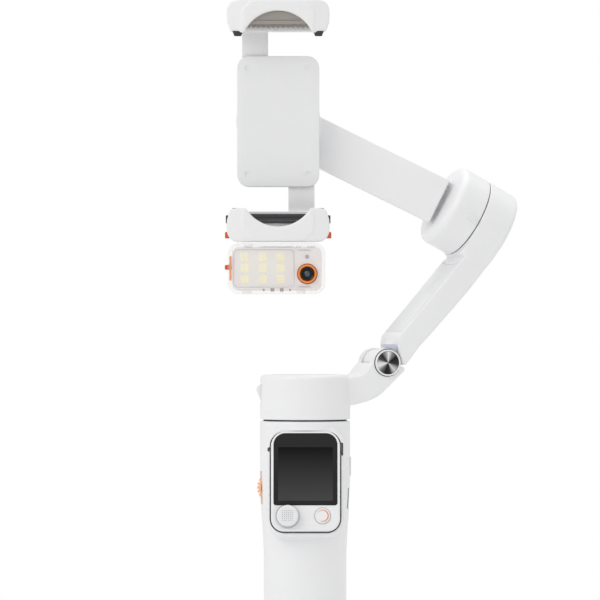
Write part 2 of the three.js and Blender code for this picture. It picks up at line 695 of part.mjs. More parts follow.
// The cover let into the back of the bar.
function tiltBarCover(grow, y0, y1) {
  const start = new THREE.Vector2(clampX, clampZ);
  const dir = barEnd.clone().sub(start).normalize();
  const ends = barCoverSpan.map((reach) => start.clone().addScaledVector(dir, reach));
  const side = new THREE.Vector2(-dir.y, dir.x).multiplyScalar(barWidth / 2 - 3 + grow);
  const low = ends[0].addScaledVector(dir, -grow);
  const high = ends[1].addScaledVector(dir, grow);
  const corners = [low.clone().add(side), low.clone().sub(side), high.clone().sub(side),
    high.clone().add(side)];
  return plate(corners.map((p) => [p.x, p.y]), y0, y1);
}

add(gimbal, "tilt_arm", makeTiltArm(), whiteShell, 0.35);
add(gimbal, "tilt_arm_cover", tiltBarCover(0, barFront + barThick - 1, barFront + barThick),
  whiteSatin, 0.4);
add(tilt, "tilt_rotor", rotor(tiltRadius, tiltFixedDepth), steel, 0.35, 0.8);
const roll = frameAt(gimbal, [clampX, rollSeamY, clampZ], [90, 0, 0]);
add(roll, "roll_stator", stator(rollRadius, rollDepth), copper, 0.4, 0.6);
add(roll, "roll_rotor", rotor(rollRadius, rollDepth), steel, 0.35, 0.8);

// ---- Phone clamp ----
const clamp = frameAt(gimbal, [clampX, 0, clampZ], [0, 0, 0]);
const channelHalf = channelWidth / 2;
const channelRise = channelHeight / 2;
const channelBack = jawBackY;
const coverFront = phoneBackY + 0.4;
const coverBack = coverFront + 1;
const stemFront = coverBack + gap + 0.3;
const stemBack = stemFront + stemThick;
const halfPhone = phoneWidth / 2;

function makeClampBody() {
  const body = roundedPlate(-channelHalf, channelHalf, -channelRise, channelRise, 5,
    coverBack + gap, channelBack);
  const stems = box(-channelHalf + 1.6, channelHalf - 1.6, coverBack, stemBack + run,
    -channelRise - past, channelRise + past);
  return cut(body, stems);
}

add(clamp, "clamp_body", makeClampBody(), whiteShell, 0.35);
const clampCover = roundedPlate(-channelHalf, channelHalf, -channelRise, channelRise, 5,
  coverFront, coverBack);
add(clamp, "clamp_cover", clampCover, whiteSatin, 0.4);
const pinionEnds = [stemFront, stemBack].map((y) => [0, y, 0]);
add(clamp, "jaw_pinion", bar(pinionRadius, ...pinionEnds, pinSides), whiteSatin, 0.5);

const jawHalf = jawWidth / 2;
const jawLow = halfPhone + padThick + gap; // from the clamp centre to the jaw's seat
const jawHigh = jawLow + jawHeight;

// The upper jaw: a bridge over the phone's edge, with an arch cut through its front lip, a back
// plate and the stem that slides in the clamp body.
function makeJaw(stemSide) {
  const lipLow = halfPhone - lipOverlap;
  const lipBack = phoneBackY - phoneThick - gap;
  const block = roundedPlate(-jawHalf, jawHalf, jawLow, jawHigh, 3, jawFrontY, jawBackY);
  const seatFill = box(-jawHalf, jawHalf, jawFrontY, jawBackY, jawLow, jawLow + 4);
  const leg = (x0, x1) => box(x0, x1, jawFrontY, lipBack, lipLow, jawLow + 1);
  const legs = join(leg(-jawHalf + 1.5, -jawHalf + 7.5), leg(jawHalf - 7.5, jawHalf - 1.5));
  const back = box(-jawHalf + 2, jawHalf - 2, coverFront + 0.1, jawBackY, jawLow - 3, jawLow + 1);
  const arch = plate(archOutline(), jawFrontY - past, lipBack);
  const stemX = stemSide * (stemInset + stemWidth / 2);
  const stem = box(stemX - stemWidth / 2, stemX + stemWidth / 2, stemFront, stemBack,
    jawLow - stemLength, jawLow + 1);
  return join(cut(join(block, seatFill, legs, back), arch), stem);
}

function archOutline() {
  const half = 13.9;
  const rise = jawLow + 5;
  const low = jawLow - past;
  const points = [[-half, low], [-half, jawLow - 1]];
  const steps = 12;
  for (let i = 0; i <= steps; i++) {
    const angle = Math.PI * (1 - i / steps);
    points.push([half * Math.cos(angle), jawLow - 1 + (rise - jawLow + 1) * Math.sin(angle)]);
  }
  points.push([half, low]);
  return points;
}

function makePad() {
  let pad = box(-jawHalf + 3, jawHalf - 3, phoneBackY - phoneThick, phoneBackY,
    halfPhone, halfPhone + padThick);
  const ribs = 9;
  const pitch = (jawWidth - 8) / ribs;
  for (let i = 0; i < ribs; i++) {
    const x = -jawHalf + 4.6 + pitch * i;
    pad = cut(pad, box(x, x + 1.2, -50, 50, halfPhone - past, halfPhone + 0.5));
  }
  return pad;
}

const flip = (part) => part.mirror([0, 0, 1]);
const crossHeight = -jawHigh + 2.8;
const crossEnds = (x) => [x, -5, crossHeight];
const crossBore = bar(1.35 + gap, crossEnds(-50), crossEnds(50), pinSides);
add(clamp, "upper_jaw", makeJaw(-1), whiteShell, 0.3);
add(clamp, "lower_jaw", cut(flip(makeJaw(1)), crossBore), whiteShell, 0.3);
add(clamp, "upper_pad", makePad(), warmGrey, 0.8);
add(clamp, "lower_pad", flip(makePad()), darkRubber, 0.8);
const crossPin = bar(1.35, crossEnds(-jawHalf - 0.6), crossEnds(jawHalf + 0.6), pinSides);
add(clamp, "jaw_cross_pin", crossPin, redOrange, 0.4);

// ---- Light and tracking-camera module, held under the lower jaw ----
const moduleTop = -jawHigh - gap;
const light = frameAt(clamp, [-0.6, 0, moduleTop - moduleHeight / 2], [0, 0, 0]);
const moduleHalf = moduleWidth / 2;
const moduleRise = moduleHeight / 2;
const moduleFrontY = moduleBackY - moduleThick;
const block = (shrink, corner, y0, y1) =>
  roundedPlate(-moduleHalf + shrink, moduleHalf - shrink, -moduleRise + shrink, moduleRise - shrink,
    corner, y0, y1);
const cameraPlace = [12.6, -2.2];
const forCamera = bar(cameraRadius + gap, [cameraPlace[0], -50, cameraPlace[1]],
  [cameraPlace[0], moduleFrontY + 5, cameraPlace[1]], motorSides);
const knobPlace = [-6, 0.5];
const knobRadius = 1.05;
const boreEnds = [-moduleHalf - past, -moduleHalf + 3.2].map((x) => [x, ...knobPlace]);
const knobBore = bar(knobRadius + gap, ...boreEnds, pinSides);
const moduleCase = cut(
  block(0, moduleCorner, moduleFrontY, moduleBackY),
  block(moduleWall, moduleCorner - moduleWall, moduleFrontY + moduleWall, moduleBackY + past),
  forCamera,
  knobBore,
);
add(light, "module_case", moduleCase, clearPlastic, 0.15);
const innerFront = moduleFrontY + moduleWall + gap;
const ledSide = [-moduleHalf + 2.6, -moduleHalf + 27.5];
const ledHeight = moduleRise - 3;
const ledSeat = box(ledSide[0] - gap, ledSide[1] + gap, innerFront - past, innerFront + 1.6,
  -ledHeight - gap, ledHeight + gap);
const innerShrink = moduleWall + gap;
const innerBlock = block(innerShrink, moduleCorner - innerShrink, innerFront, moduleBackY - 1.4);
add(light, "module_body", cut(innerBlock, ledSeat, forCamera, knobBore), whiteSatin, 0.5);

function makeLedBoard() {
  const boardFront = innerFront + 0.8;
  let board = box(...ledSide, boardFront, innerFront + 1.6 - gap, -ledHeight, ledHeight);
  for (let column = 0; column < ledColumns; column++) {
    for (let row = 0; row < ledRows; row++) {
      const x = ledSide[0] + 4.4 + 7.4 * column;
      const z = (row - (ledRows - 1) / 2) * 4.6;
      const half = ledSize / 2;
      board = join(board, box(x - half, x + half, boardFront - 0.6, boardFront + 0.2, z - half, z + half));
    }
  }
  return board;
}

add(light, "led_board", makeLedBoard(), ledYellow, 0.5);
const cameraAt = (y) => [cameraPlace[0], y, cameraPlace[1]];
const ring = cut(
  bar(cameraRadius, cameraAt(moduleFrontY - 0.5), cameraAt(moduleFrontY + 4.6), motorSides),
  bar(lensRadius + gap, cameraAt(moduleFrontY - past), cameraAt(moduleFrontY + 3), motorSides),
);
add(light, "camera_ring", ring, orange, 0.35);
const lens = bar(lensRadius, cameraAt(moduleFrontY - 0.2), cameraAt(moduleFrontY + 2.7), motorSides);
add(light, "camera_lens", lens, blackGlass, 0.1);
add(light, "magnet_plate", block(moduleWall + gap, 3, moduleBackY - 1.1, moduleBackY), steel, 0.4, 0.8);
const knobEnds = [-moduleHalf - 1.3, -moduleHalf + 2.6].map((x) => [x, ...knobPlace]);
add(light, "module_button", bar(knobRadius, ...knobEnds, pinSides), redOrange, 0.4);

export default gimbal;
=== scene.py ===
import json
import math

import bmesh
import bpy
from mathutils import Matrix, Vector


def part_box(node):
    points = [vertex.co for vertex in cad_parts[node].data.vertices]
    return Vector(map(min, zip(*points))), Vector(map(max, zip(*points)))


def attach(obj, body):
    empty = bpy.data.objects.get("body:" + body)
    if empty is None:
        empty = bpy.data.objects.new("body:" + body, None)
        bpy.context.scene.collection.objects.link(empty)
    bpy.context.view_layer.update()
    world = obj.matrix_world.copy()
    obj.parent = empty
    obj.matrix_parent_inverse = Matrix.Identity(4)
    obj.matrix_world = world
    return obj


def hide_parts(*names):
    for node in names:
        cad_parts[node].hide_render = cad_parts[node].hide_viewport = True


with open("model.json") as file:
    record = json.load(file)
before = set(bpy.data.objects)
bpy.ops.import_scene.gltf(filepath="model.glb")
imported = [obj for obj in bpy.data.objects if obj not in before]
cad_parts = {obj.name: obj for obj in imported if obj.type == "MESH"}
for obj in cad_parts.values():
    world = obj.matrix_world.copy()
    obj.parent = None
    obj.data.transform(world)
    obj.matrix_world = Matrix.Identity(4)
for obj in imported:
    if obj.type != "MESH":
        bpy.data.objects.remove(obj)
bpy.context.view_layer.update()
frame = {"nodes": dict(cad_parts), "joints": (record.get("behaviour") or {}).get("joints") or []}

# Everything is built in millimetres and shrunk to metres in finishPiece.
mm = 0.001
jointsByName = {joint["name"]: joint for joint in frame["joints"]}


def jointPoint(name):
    return Vector(jointsByName[name]["pos_m"]) / mm


def nodeBox(node):
    low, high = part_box(node)
    return low / mm, high / mm


# Places that the frame gives
headTop = nodeBox("head_cap")[1].z + 0.1
headFloor = nodeBox("pan_arm")[0].z
handleFloor, handleTop = (corner.z for corner in nodeBox("handle_front_shell"))
kneePoint = jointPoint("fold")
tiltPoint = jointPoint("tilt")
rollPoint = jointPoint("roll")
armYaw = math.atan2(kneePoint.y, kneePoint.x)
tiltAxis = Vector(jointsByName["tilt"]["axis"])
armFrame = Matrix.Rotation(armYaw, 4, "Z")
tiltRise = math.asin(tiltAxis.z)
tiltFrame = (
    Matrix.Translation(tiltPoint)
    @ Matrix.Rotation(armYaw, 4, "Z")
    @ Matrix.Rotation(tiltRise - math.pi / 2, 4, "Y")
)
kneeU = kneePoint.xy.length
kneeZ = kneePoint.z
remoteLean = math.radians(-8)


# ---- Camera, floor and light ----
view = {
    "lens": 300.0,
    "sensor": 36.0,
    "frameWidth": 0.2478,  # metres of the object that fill the picture
    "aimX": -0.0021,
    "aimZ": 0.1995,
    "floorRadius": 1.15,
    "surroundFront": 0.93,  # brightness of the room on the camera's side
    "surroundBack": 1.0,
    "keyPower": 5.0,
    "topPower": 4.0,
}


def makeCamera():
    data = bpy.data.cameras.new("frontCamera")
    data.lens = view["lens"]
    data.sensor_width = view["sensor"]
    data.clip_end = 20
    camera = bpy.data.objects.new("frontCamera", data)
    distance = view["frameWidth"] * view["lens"] / view["sensor"]
    camera.location = (view["aimX"], -distance, view["aimZ"])
    camera.rotation_euler = (math.pi / 2, 0, 0)
    bpy.context.scene.collection.objects.link(camera)
    bpy.context.scene.camera = camera


def makeWorld():
    world = bpy.data.worlds.new("whiteStudio")
    world.use_nodes = True
    nodes, links = world.node_tree.nodes, world.node_tree.links
    nodes.clear()
    place = nodes.new("ShaderNodeTexCoord")
    split = nodes.new("ShaderNodeSeparateXYZ")
    ramp = nodes.new("ShaderNodeMapRange")
    ramp.inputs["From Min"].default_value = -1
    ramp.inputs["From Max"].default_value = 0.25
    ramp.inputs["To Min"].default_value = view["surroundFront"]
    ramp.inputs["To Max"].default_value = view["surroundBack"]
    room = nodes.new("ShaderNodeBackground")
    seen = nodes.new("ShaderNodeBackground")
    seen.inputs["Strength"].default_value = 1.0
    seen.inputs["Color"].default_value = (1, 1, 1, 1)
    path = nodes.new("ShaderNodeLightPath")
    mix = nodes.new("ShaderNodeMixShader")
    out = nodes.new("ShaderNodeOutputWorld")
    links.new(place.outputs["Generated"], split.inputs[0])
    links.new(split.outputs["Y"], ramp.inputs["Value"])
    links.new(ramp.outputs["Result"], room.inputs["Strength"])
    links.new(path.outputs["Is Camera Ray"], mix.inputs["Fac"])
    links.new(room.outputs[0], mix.inputs[1])
    links.new(seen.outputs[0], mix.inputs[2])
    links.new(mix.outputs[0], out.inputs["Surface"])
    bpy.context.scene.world = world


def makeSoftbox(name, place, target, size, power):
    data = bpy.data.lights.new(name, "AREA")
    data.shape = "SQUARE"
    data.size = size
    data.energy = power
    lamp = bpy.data.objects.new(name, data)
    lamp.location = place
    lamp.rotation_euler = (Vector(target) - Vector(place)).to_track_quat("-Z", "Y").to_euler()
    bpy.context.scene.collection.objects.link(lamp)


def makeFloor():
    shape = bmesh.new()
    bmesh.ops.create_circle(shape, cap_ends=True, segments=96, radius=view["floorRadius"])
    data = bpy.data.meshes.new("paleFloor")
    shape.to_mesh(data)
    shape.free()
    floor = bpy.data.objects.new("paleFloor", data)
    floor.location = (0, 0, -0.0002)
    bpy.context.scene.collection.objects.link(floor)
    surface = bpy.data.materials.new("paleFloor")
    surface.use_nodes = True
    shader = surface.node_tree.nodes["Principled BSDF"]
    shader.inputs["Base Color"].default_value = (0.86, 0.86, 0.86, 1)
    shader.inputs["Roughness"].default_value = 0.8
    data.materials.append(surface)


bpy.context.scene.view_settings.view_transform = "Standard"
makeCamera()
makeWorld()
makeFloor()
makeSoftbox("keySoftbox", (-0.9, -0.9, 1.1), (0, 0, 0.2), 0.9, view["keyPower"])
makeSoftbox("topSoftbox", (0.2, 0.3, 1.3), (0, 0, 0.2), 1.0, view["topPower"])
print("stage: camera, floor and light")


# ---- Finishes ----
def noiseFrom(nodes, links, coords, scale, detail=2.0):
    noise = nodes.new("ShaderNodeTexNoise")
    noise.inputs["Scale"].default_value = scale
    noise.inputs["Detail"].default_value = detail
    links.new(coords, noise.inputs["Vector"])
    return noise.outputs["Fac"]


def remap(nodes, links, value, low, high):
    ramp = nodes.new("ShaderNodeMapRange")
    ramp.inputs["From Min"].default_value = 0.3
    ramp.inputs["From Max"].default_value = 0.7
    ramp.inputs["To Min"].default_value = low
    ramp.inputs["To Max"].default_value = high
    links.new(value, ramp.inputs["Value"])
    return ramp.outputs["Result"]


# One moulded, painted or metal finish: fine grain, uneven gloss and slightly uneven colour.
def makeFinish(name, color, rough, grain=2600.0, bump=0.04, vary=0.015, metal=0.0, fixed=None):
    surface = bpy.data.materials.new(name)
    surface.use_nodes = True
    nodes, links = surface.node_tree.nodes, surface.node_tree.links
    shader = nodes["Principled BSDF"]
    coords = nodes.new("ShaderNodeTexCoord").outputs["Object"]
    cloudy = noiseFrom(nodes, links, coords, 140.0, 3.0)
    links.new(remap(nodes, links, cloudy, rough * 0.86, rough * 1.14), shader.inputs["Roughness"])
    tint = nodes.new("ShaderNodeMix")
    tint.data_type = "RGBA"
    tint.inputs["A"].default_value = (*[max(0.0, c * (1 - vary)) for c in color], 1)
    tint.inputs["B"].default_value = (*[min(1.0, c * (1 + vary)) for c in color], 1)
    links.new(remap(nodes, links, noiseFrom(nodes, links, coords, 60.0), 0, 1), tint.inputs["Factor"])
    links.new(tint.outputs["Result"], shader.inputs["Base Color"])
    relief = nodes.new("ShaderNodeBump")
    relief.inputs["Strength"].default_value = bump
    relief.inputs["Distance"].default_value = 0.0002
    links.new(noiseFrom(nodes, links, coords, grain), relief.inputs["Height"])
    links.new(relief.outputs["Normal"], shader.inputs["Normal"])
    shader.inputs["Metallic"].default_value = metal
    for socket, value in (fixed or {}).items():
        shader.inputs[socket].default_value = value
    return surface


finishes = {
    "shell": makeFinish("satinWhiteShell", (0.88, 0.882, 0.89), 0.34, 2600, 0.03, 0.008,
                        fixed={"Coat Weight": 0.15, "Coat Roughness": 0.25}),
    "satin": makeFinish("matteWhitePlastic", (0.84, 0.843, 0.85), 0.5, 1800, 0.08, 0.01),
    "jawWhite": makeFinish("jawWhitePlastic", (0.87, 0.868, 0.868), 0.3, 2600, 0.03, 0.008),
    "steel": makeFinish("brushedSteel", (0.62, 0.63, 0.65), 0.28, 900, 0.05, 0.04, 1.0),
    "rod": makeFinish("anodisedTube", (0.66, 0.67, 0.69), 0.3, 1500, 0.05, 0.03, 1.0),
    "copper": makeFinish("lacqueredCopper", (0.62, 0.30, 0.13), 0.35, 2400, 0.3, 0.1, 0.8),
    "darkRubber": makeFinish("darkRubber", (0.035, 0.036, 0.04), 0.65, 3000, 0.2, 0.1),
    "warmRubber": makeFinish("warmGreyRubber", (0.33, 0.30, 0.275), 0.6, 3000, 0.2, 0.05),
    # Dark grey for the cradle notches and the port slit: painted shade.
    "paintedSlotShade": makeFinish("paintedSlotShade", (0.09, 0.09, 0.10), 0.6, 2000, 0.1, 0.1),
    "seam": makeFinish("seamShadow", (0.012, 0.012, 0.014), 0.7, 2000, 0.1, 0.1),
    "orange": makeFinish("orangePlastic", (0.90, 0.26, 0.045), 0.38, 2400, 0.06, 0.03),
    "paleOrange": makeFinish("paleOrangeWheel", (0.94, 0.54, 0.32), 0.45, 2400, 0.08, 0.03),
    "redOrange": makeFinish("redOrangePlastic", (0.74, 0.10, 0.03), 0.35, 2400, 0.06, 0.05),
    "blackGlass": makeFinish("blackGlass", (0.022, 0.022, 0.022), 0.08, 800, 0.0, 0.02,
                             fixed={"Specular IOR Level": 0.14}),
    "lensBlack": makeFinish("lensBlack", (0.006, 0.006, 0.007), 0.12, 800, 0.0, 0.02),
    "moduleWhite": makeFinish("moduleWhite", (0.92, 0.90, 0.895), 0.45, 2000, 0.05, 0.01),
    "ledPanel": makeFinish("lightPanel", (0.93, 0.91, 0.895), 0.4, 5200, 0.35, 0.01),
    "ledDot": makeFinish("phosphorYellow", (0.98, 0.93, 0.68), 0.5, 4200, 0.4, 0.03,
                         fixed={"Emission Color": (1, 0.93, 0.66, 1), "Emission Strength": 0.08}),
    "contact": makeFinish("brownContact", (0.36, 0.24, 0.19), 0.35, 1500, 0.05, 0.05, 0.6),
    "board": makeFinish("greenBoard", (0.03, 0.17, 0.08), 0.4, 1500, 0.1, 0.08),
    "battery": makeFinish("blueSleeve", (0.06, 0.16, 0.42), 0.35, 900, 0.1, 0.05),
    # Grey for the joystick's dots, and painted shade on the cap's side wall.
    "stickSideShadeAndDotGrey": makeFinish("stickSideShadeAndDotGrey", (0.47, 0.48, 0.50), 0.5, 1800, 0.06, 0.02),
    "greyMark": makeFinish("greyMark", (0.42, 0.42, 0.44), 0.4, 2000, 0.05, 0.02),
    "kneeSlotShade": makeFinish("kneeSlotPaintedShade", (0.58, 0.62, 0.72), 0.5, 2000, 0.05, 0.02),
    "clear": makeFinish("clearCase", (0.90, 0.855, 0.835), 0.08, 700, 0.0, 0.0,
                        fixed={"Alpha": 0.15, "Coat Weight": 0.5, "Coat Roughness": 0.04}),
}
print("stage: finishes")


# ---- Shape helpers, in millimetres ----
sideways = Matrix.Rotation(math.pi / 2, 4, "Z")  # a plate's front then looks right
facing = Matrix.Rotation(math.pi / 2, 4, "X")  # stands a pattern up to face the front
swapAcross = Matrix(((0, 1, 0, 0), (1, 0, 0, 0), (0, 0, 1, 0), (0, 0, 0, 1)))  # an outline lies along Y


def toObject(name, shape):
    bmesh.ops.recalc_face_normals(shape, faces=shape.faces)
    data = bpy.data.meshes.new(name)
    shape.to_mesh(data)
    shape.free()
    piece = bpy.data.objects.new(name, data)
    bpy.context.scene.collection.objects.link(piece)
    return piece


# A body of revolution about Z: [radius, height] points, closed on itself or on the axis.
def latheShape(profile, steps=96, place=None, name="lathe"):
    shape = bmesh.new()
    rings = []
    for radius, height in profile:
        if radius < 1e-6:
            rings.append([shape.verts.new((0, 0, height))])
            continue
        turns = (2 * math.pi * i / steps for i in range(steps))
        rings.append([shape.verts.new((radius * math.cos(t), radius * math.sin(t), height)) for t in turns])
    for ringA, ringB in zip(rings, rings[1:] + rings[:1]):
        if len(ringA) == 1 and len(ringB) == 1:
            continue
        for i in range(steps):
            j = (i + 1) % steps
            if len(ringA) == 1:
                corners = [ringA[0], ringB[i], ringB[j]]
            elif len(ringB) == 1:
                corners = [ringA[i], ringA[j], ringB[0]]
            else:
                corners = [ringA[i], ringA[j], ringB[j], ringB[i]]
            shape.faces.new(corners)
    if place is not None:
        bmesh.ops.transform(shape, matrix=place, verts=shape.verts)
    return toObject(name, shape)


# A flat outline of [across, up] points, thickened along Y.
def plateShape(outline, y0, y1, place=None, name="plate"):
    shape = bmesh.new()
    front = [shape.verts.new((x, y0, z)) for x, z in outline]
    back = [shape.verts.new((x, y1, z)) for x, z in outline]
    shape.faces.new(front)
    shape.faces.new(back[::-1])
    count = len(outline)
    for i in range(count):
        j = (i + 1) % count
        shape.faces.new([front[i], front[j], back[j], back[i]])
    if place is not None:
        bmesh.ops.transform(shape, matrix=place, verts=shape.verts)
    return toObject(name, shape)


def arcPoints(cx, cz, radius, start, end, steps=8):
    angles = (math.radians(start + (end - start) * i / steps) for i in range(steps + 1))
    return [(cx + radius * math.cos(a), cz + radius * math.sin(a)) for a in angles]


# Corner radii go bottom right, top right, top left, bottom left.
def roundedOutline(x0, x1, z0, z1, radii, steps=8):
    br, tr, tl, bl = radii if isinstance(radii, (list, tuple)) else [radii] * 4
    return (
        arcPoints(x1 - br, z0 + br, br, -90, 0, steps)
        + arcPoints(x1 - tr, z1 - tr, tr, 0, 90, steps)
        + arcPoints(x0 + tl, z1 - tl, tl, 90, 180, steps)
        + arcPoints(x0 + bl, z0 + bl, bl, 180, 270, steps)
    )


def boxShape(low, high, place=None, name="box"):
    outline = [(low[0], low[2]), (high[0], low[2]), (high[0], high[2]), (low[0], high[2])]
    return plateShape(outline, low[1], high[1], place, name)


def barShape(radius, start, end, steps=64, name="bar"):
    start, end = Vector(start), Vector(end)
    turn = (end - start).to_track_quat("Z", "Y").to_matrix().to_4x4()
    length = (end - start).length
    place = Matrix.Translation(start) @ turn
    return latheShape([(0, 0), (radius, 0), (radius, length), (0, length)], steps, place, name)


# Makes the modified shape the piece's own mesh and clears its modifiers.
def settle(piece):
    graph = bpy.context.evaluated_depsgraph_get()
    graph.update()
    made = bpy.data.meshes.new_from_object(piece.evaluated_get(graph))
    old = piece.data
    piece.modifiers.clear()
    piece.data = made
    bpy.data.meshes.remove(old)
    return piece


def drop(*pieces):
    for piece in pieces:
        bpy.data.objects.remove(piece)


# Puts several closed shapes in one mesh.
def together(pieces, name):
    shape = bmesh.new()
    for piece in pieces:
        shape.from_mesh(piece.data)
    drop(*pieces)
    return toObject(name, shape)


def boolean(piece, tools, operation="DIFFERENCE"):
    for tool in tools:
        change = piece.modifiers.new("boolean", "BOOLEAN")
        change.operation = operation
        change.solver = "EXACT"
        change.object = tool
    settle(piece)
    drop(*tools)
    return piece


# Fuses overlapping shapes and rounds every edge, as a moulded shell's are.
def moulded(piece, voxel, rounds):
    fuse = piece.modifiers.new("fuse", "REMESH")
    fuse.mode = "VOXEL"
    fuse.voxel_size = voxel
    soften = piece.modifiers.new("soften", "SMOOTH")
    soften.factor = 0.5
    soften.iterations = rounds
    return settle(piece)


# Rounds the sharp edges.
def edged(piece, width, segments=3, angle=35):
    bevel = piece.modifiers.new("edges", "BEVEL")
    bevel.width = width
    bevel.segments = segments
    bevel.limit_method = "ANGLE"
    bevel.angle_limit = math.radians(angle)
    bevel.miter_outer = "MITER_ARC"
    return settle(piece)


# Names the piece, gives it its finish, turns it to metres and hangs it on its body.
def finishPiece(piece, name, finish, body, stands=(), crease=32):
    piece.name = name
    piece.data.name = name
    piece.data.transform(Matrix.Scale(mm, 4))
    piece.data.materials.clear()
    piece.data.materials.append(finishes[finish])
    piece.data.shade_smooth()
    piece.data.set_sharp_from_angle(angle=math.radians(crease))
    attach(piece, body)
    if stands:
        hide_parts(*stands)
    return piece


# ---- Handle ----
handle = {
    "gripRadius": 17.05,
    "neckRadius": 18.6,
    "topEdge": 0.35,
    "rodOffset": 5.8,
    "rodBore": 9.1,
    "voxel": 0.45,
    "softening": 5,
    "seamWidth": 0.22,
    "seamDepth": 0.45,
    "pocketGap": 0.15,
    "rimGrow": 1.5,  # how far the remote's cradle stands round it
    "slitHeight": (113.6, 122.1),
}
wheel = {"radius": 6.5, "width": 4.4, "x": -13.3, "y": -3.1, "z": 122.2, "teeth": 24, "toothDepth": 0.7}
remote = {
    "width": 29.1,
    "height": 41.6,
    "thick": 7.5,
    "corner": 5.9,
    "centre": (0.15, -18.0, 124.8),
    "glassThick": 0.9,
}
remoteFrame = Matrix.Translation(remote["centre"]) @ Matrix.Rotation(remoteLean, 4, "X")
remoteFront = -remote["thick"] / 2


def remoteBlock(grow, y0, y1, steps=8):
    halfWidth, halfHeight = remote["width"] / 2 + grow, remote["height"] / 2 + grow
    outline = roundedOutline(-halfWidth, halfWidth, -halfHeight, halfHeight, remote["corner"] + grow, steps)
    return plateShape(outline, y0, y1, remoteFrame)


def handleOutline(grow=0.0):
    grip, neck, edge = handle["gripRadius"] + grow, handle["neckRadius"] + grow, handle["topEdge"]
    points = [(grip - 0.5, handleFloor), (grip, handleFloor + 0.5), (grip, 92)]
    for i in range(1, 12):  # the grip widens in one soft curve
        t = i / 12
        points.append((grip + (neck - grip) * t * t * (3 - 2 * t), 92 + 33 * t))
    points += [(neck, 125), (neck, handleTop - edge), (neck - edge, handleTop)]
    return points


def makeHandleShell():
    body = latheShape([(0, handleFloor), *handleOutline(), (0, handleTop)], 128)
    cradle = remoteBlock(handle["rimGrow"], remoteFront + 3, -remoteFront + 1.6)
    lugs = []
    for side in (-1, 1):
        outline = roundedOutline(13.6, 22, 135.5, 141.5, (2.8, 2.8, 0.2, 0.2))
        x0, x1 = sorted((side * 5.4, side * 7.4))
        lugs.append(plateShape(outline, x0, x1, swapAcross))
    shell = moulded(together([body, cradle, *lugs], "shell"), handle["voxel"], handle["softening"])
    pocket = remoteBlock(handle["pocketGap"], remoteFront - 8, -remoteFront + 0.3)
    slotHalf = wheel["radius"] + 0.3
    slot = plateShape(roundedOutline(-27, -6.1, wheel["z"] - slotHalf, wheel["z"] + slotHalf, 0.8),
                      wheel["y"] - 2.5, wheel["y"] + 2.5)
    power = plateShape(roundedOutline(-3.3, 3.3, 126.7, 135.1, 1.4), -25, -14.2, sideways)
    flap = plateShape(roundedOutline(-2.4, 2.4, 113.4, 122.3, 1.2), -25, -14, sideways)
    notches = [plateShape(roundedOutline(14.3, 15.45, 11.0, 16.3, 0.4), remoteFront - 3, 1.5, remoteFrame),
               plateShape(roundedOutline(-15.6, -14.2, 12.6, 14.4, 0.6), remoteFront - 3, 1.5, remoteFrame)]
    bore = barShape(handle["rodBore"], (0, handle["rodOffset"], 60), (0, handle["rodOffset"], 160), 96)
    finger = boxShape((-5.38, 15.6, 110), (5.38, 30, 143.5))
    boolean(shell, [pocket, slot, power, flap, bore, finger, *notches])
    half, depth = handle["seamWidth"] / 2, handle["seamDepth"]
    line = handleOutline(-depth)
    tools = []
    for side in (-1, 1):
        outline = [(side * r, z) for r, z in line] + [(side * 30, handleTop), (side * 30, handleFloor)]
        tools.append(plateShape(outline, -half, half))
    return boolean(shell, tools)


shell = makeHandleShell()
finishPiece(shell, "handleShell", "shell", "handle",
            ("handle_front_shell", "handle_rear_shell"))
# Dark grey plates at the backs of the cradle's two notches: painted shade in the recesses.
notchShadeFill = [plateShape(roundedOutline(14.8, 15.35, 11.2, 16.1, 0.25), -0.3, 2.4, remoteFrame),
             plateShape(roundedOutline(-15.4, -14.75, 13.1, 13.9, 0.2), -0.3, 2.4, remoteFrame)]
finishPiece(together(notchShadeFill, "notches"), "cradleNotches", "paintedSlotShade", "handle", ())


def makeRods():
    sleeves = [("rod_sleeve", 8.8, "handle"), ("rod_stage_1", 7.6, "rod_1"),
               ("rod_stage_2", 6.4, "rod_2"), ("rod_stage_3", 5.2, "rod_3")]
    for node, radius, body in sleeves:
        low, high = nodeBox(node)
        inner = radius - 0.9
        profile = [(inner, low.z), (radius - 0.25, low.z), (radius, low.z + 0.25)]
        profile += [(radius, high.z - 3.4), (radius - 0.15, high.z - 3.3), (radius - 0.15, high.z - 3.0),
                    (radius, high.z - 2.9), (radius, high.z - 0.3), (radius - 0.25, high.z), (inner, high.z)]
        tube = latheShape(profile, 96, Matrix.Translation((0, handle["rodOffset"], 0)))
        finishPiece(tube, node.replace("rod_", "tube_"), "rod", body, (node,))


makeRods()
print("stage: handle and rods")


# ---- Tripod ----
tripod = {
    "angles": (-90, 30, 150),
    "span": 116,
    "inner": 9.0,
    "legLength": 53.4,
    "pivotRadius": 14.0,
    "pivotHeight": 60.5,
    "tongueHalf": 4.2,
}


def wedgeShape(span, radius, z0, z1):
    angles = (math.radians(span * (i / 16 - 0.5)) for i in range(17))
    outline = [(0, 0)] + [(radius * math.cos(a), radius * math.sin(a)) for a in angles]
    lay = Matrix(((1, 0, 0, 0), (0, 0, 1, 0), (0, 1, 0, 0), (0, 0, 0, 1)))  # swaps up and away
    return plateShape(outline, z0, z1, lay)


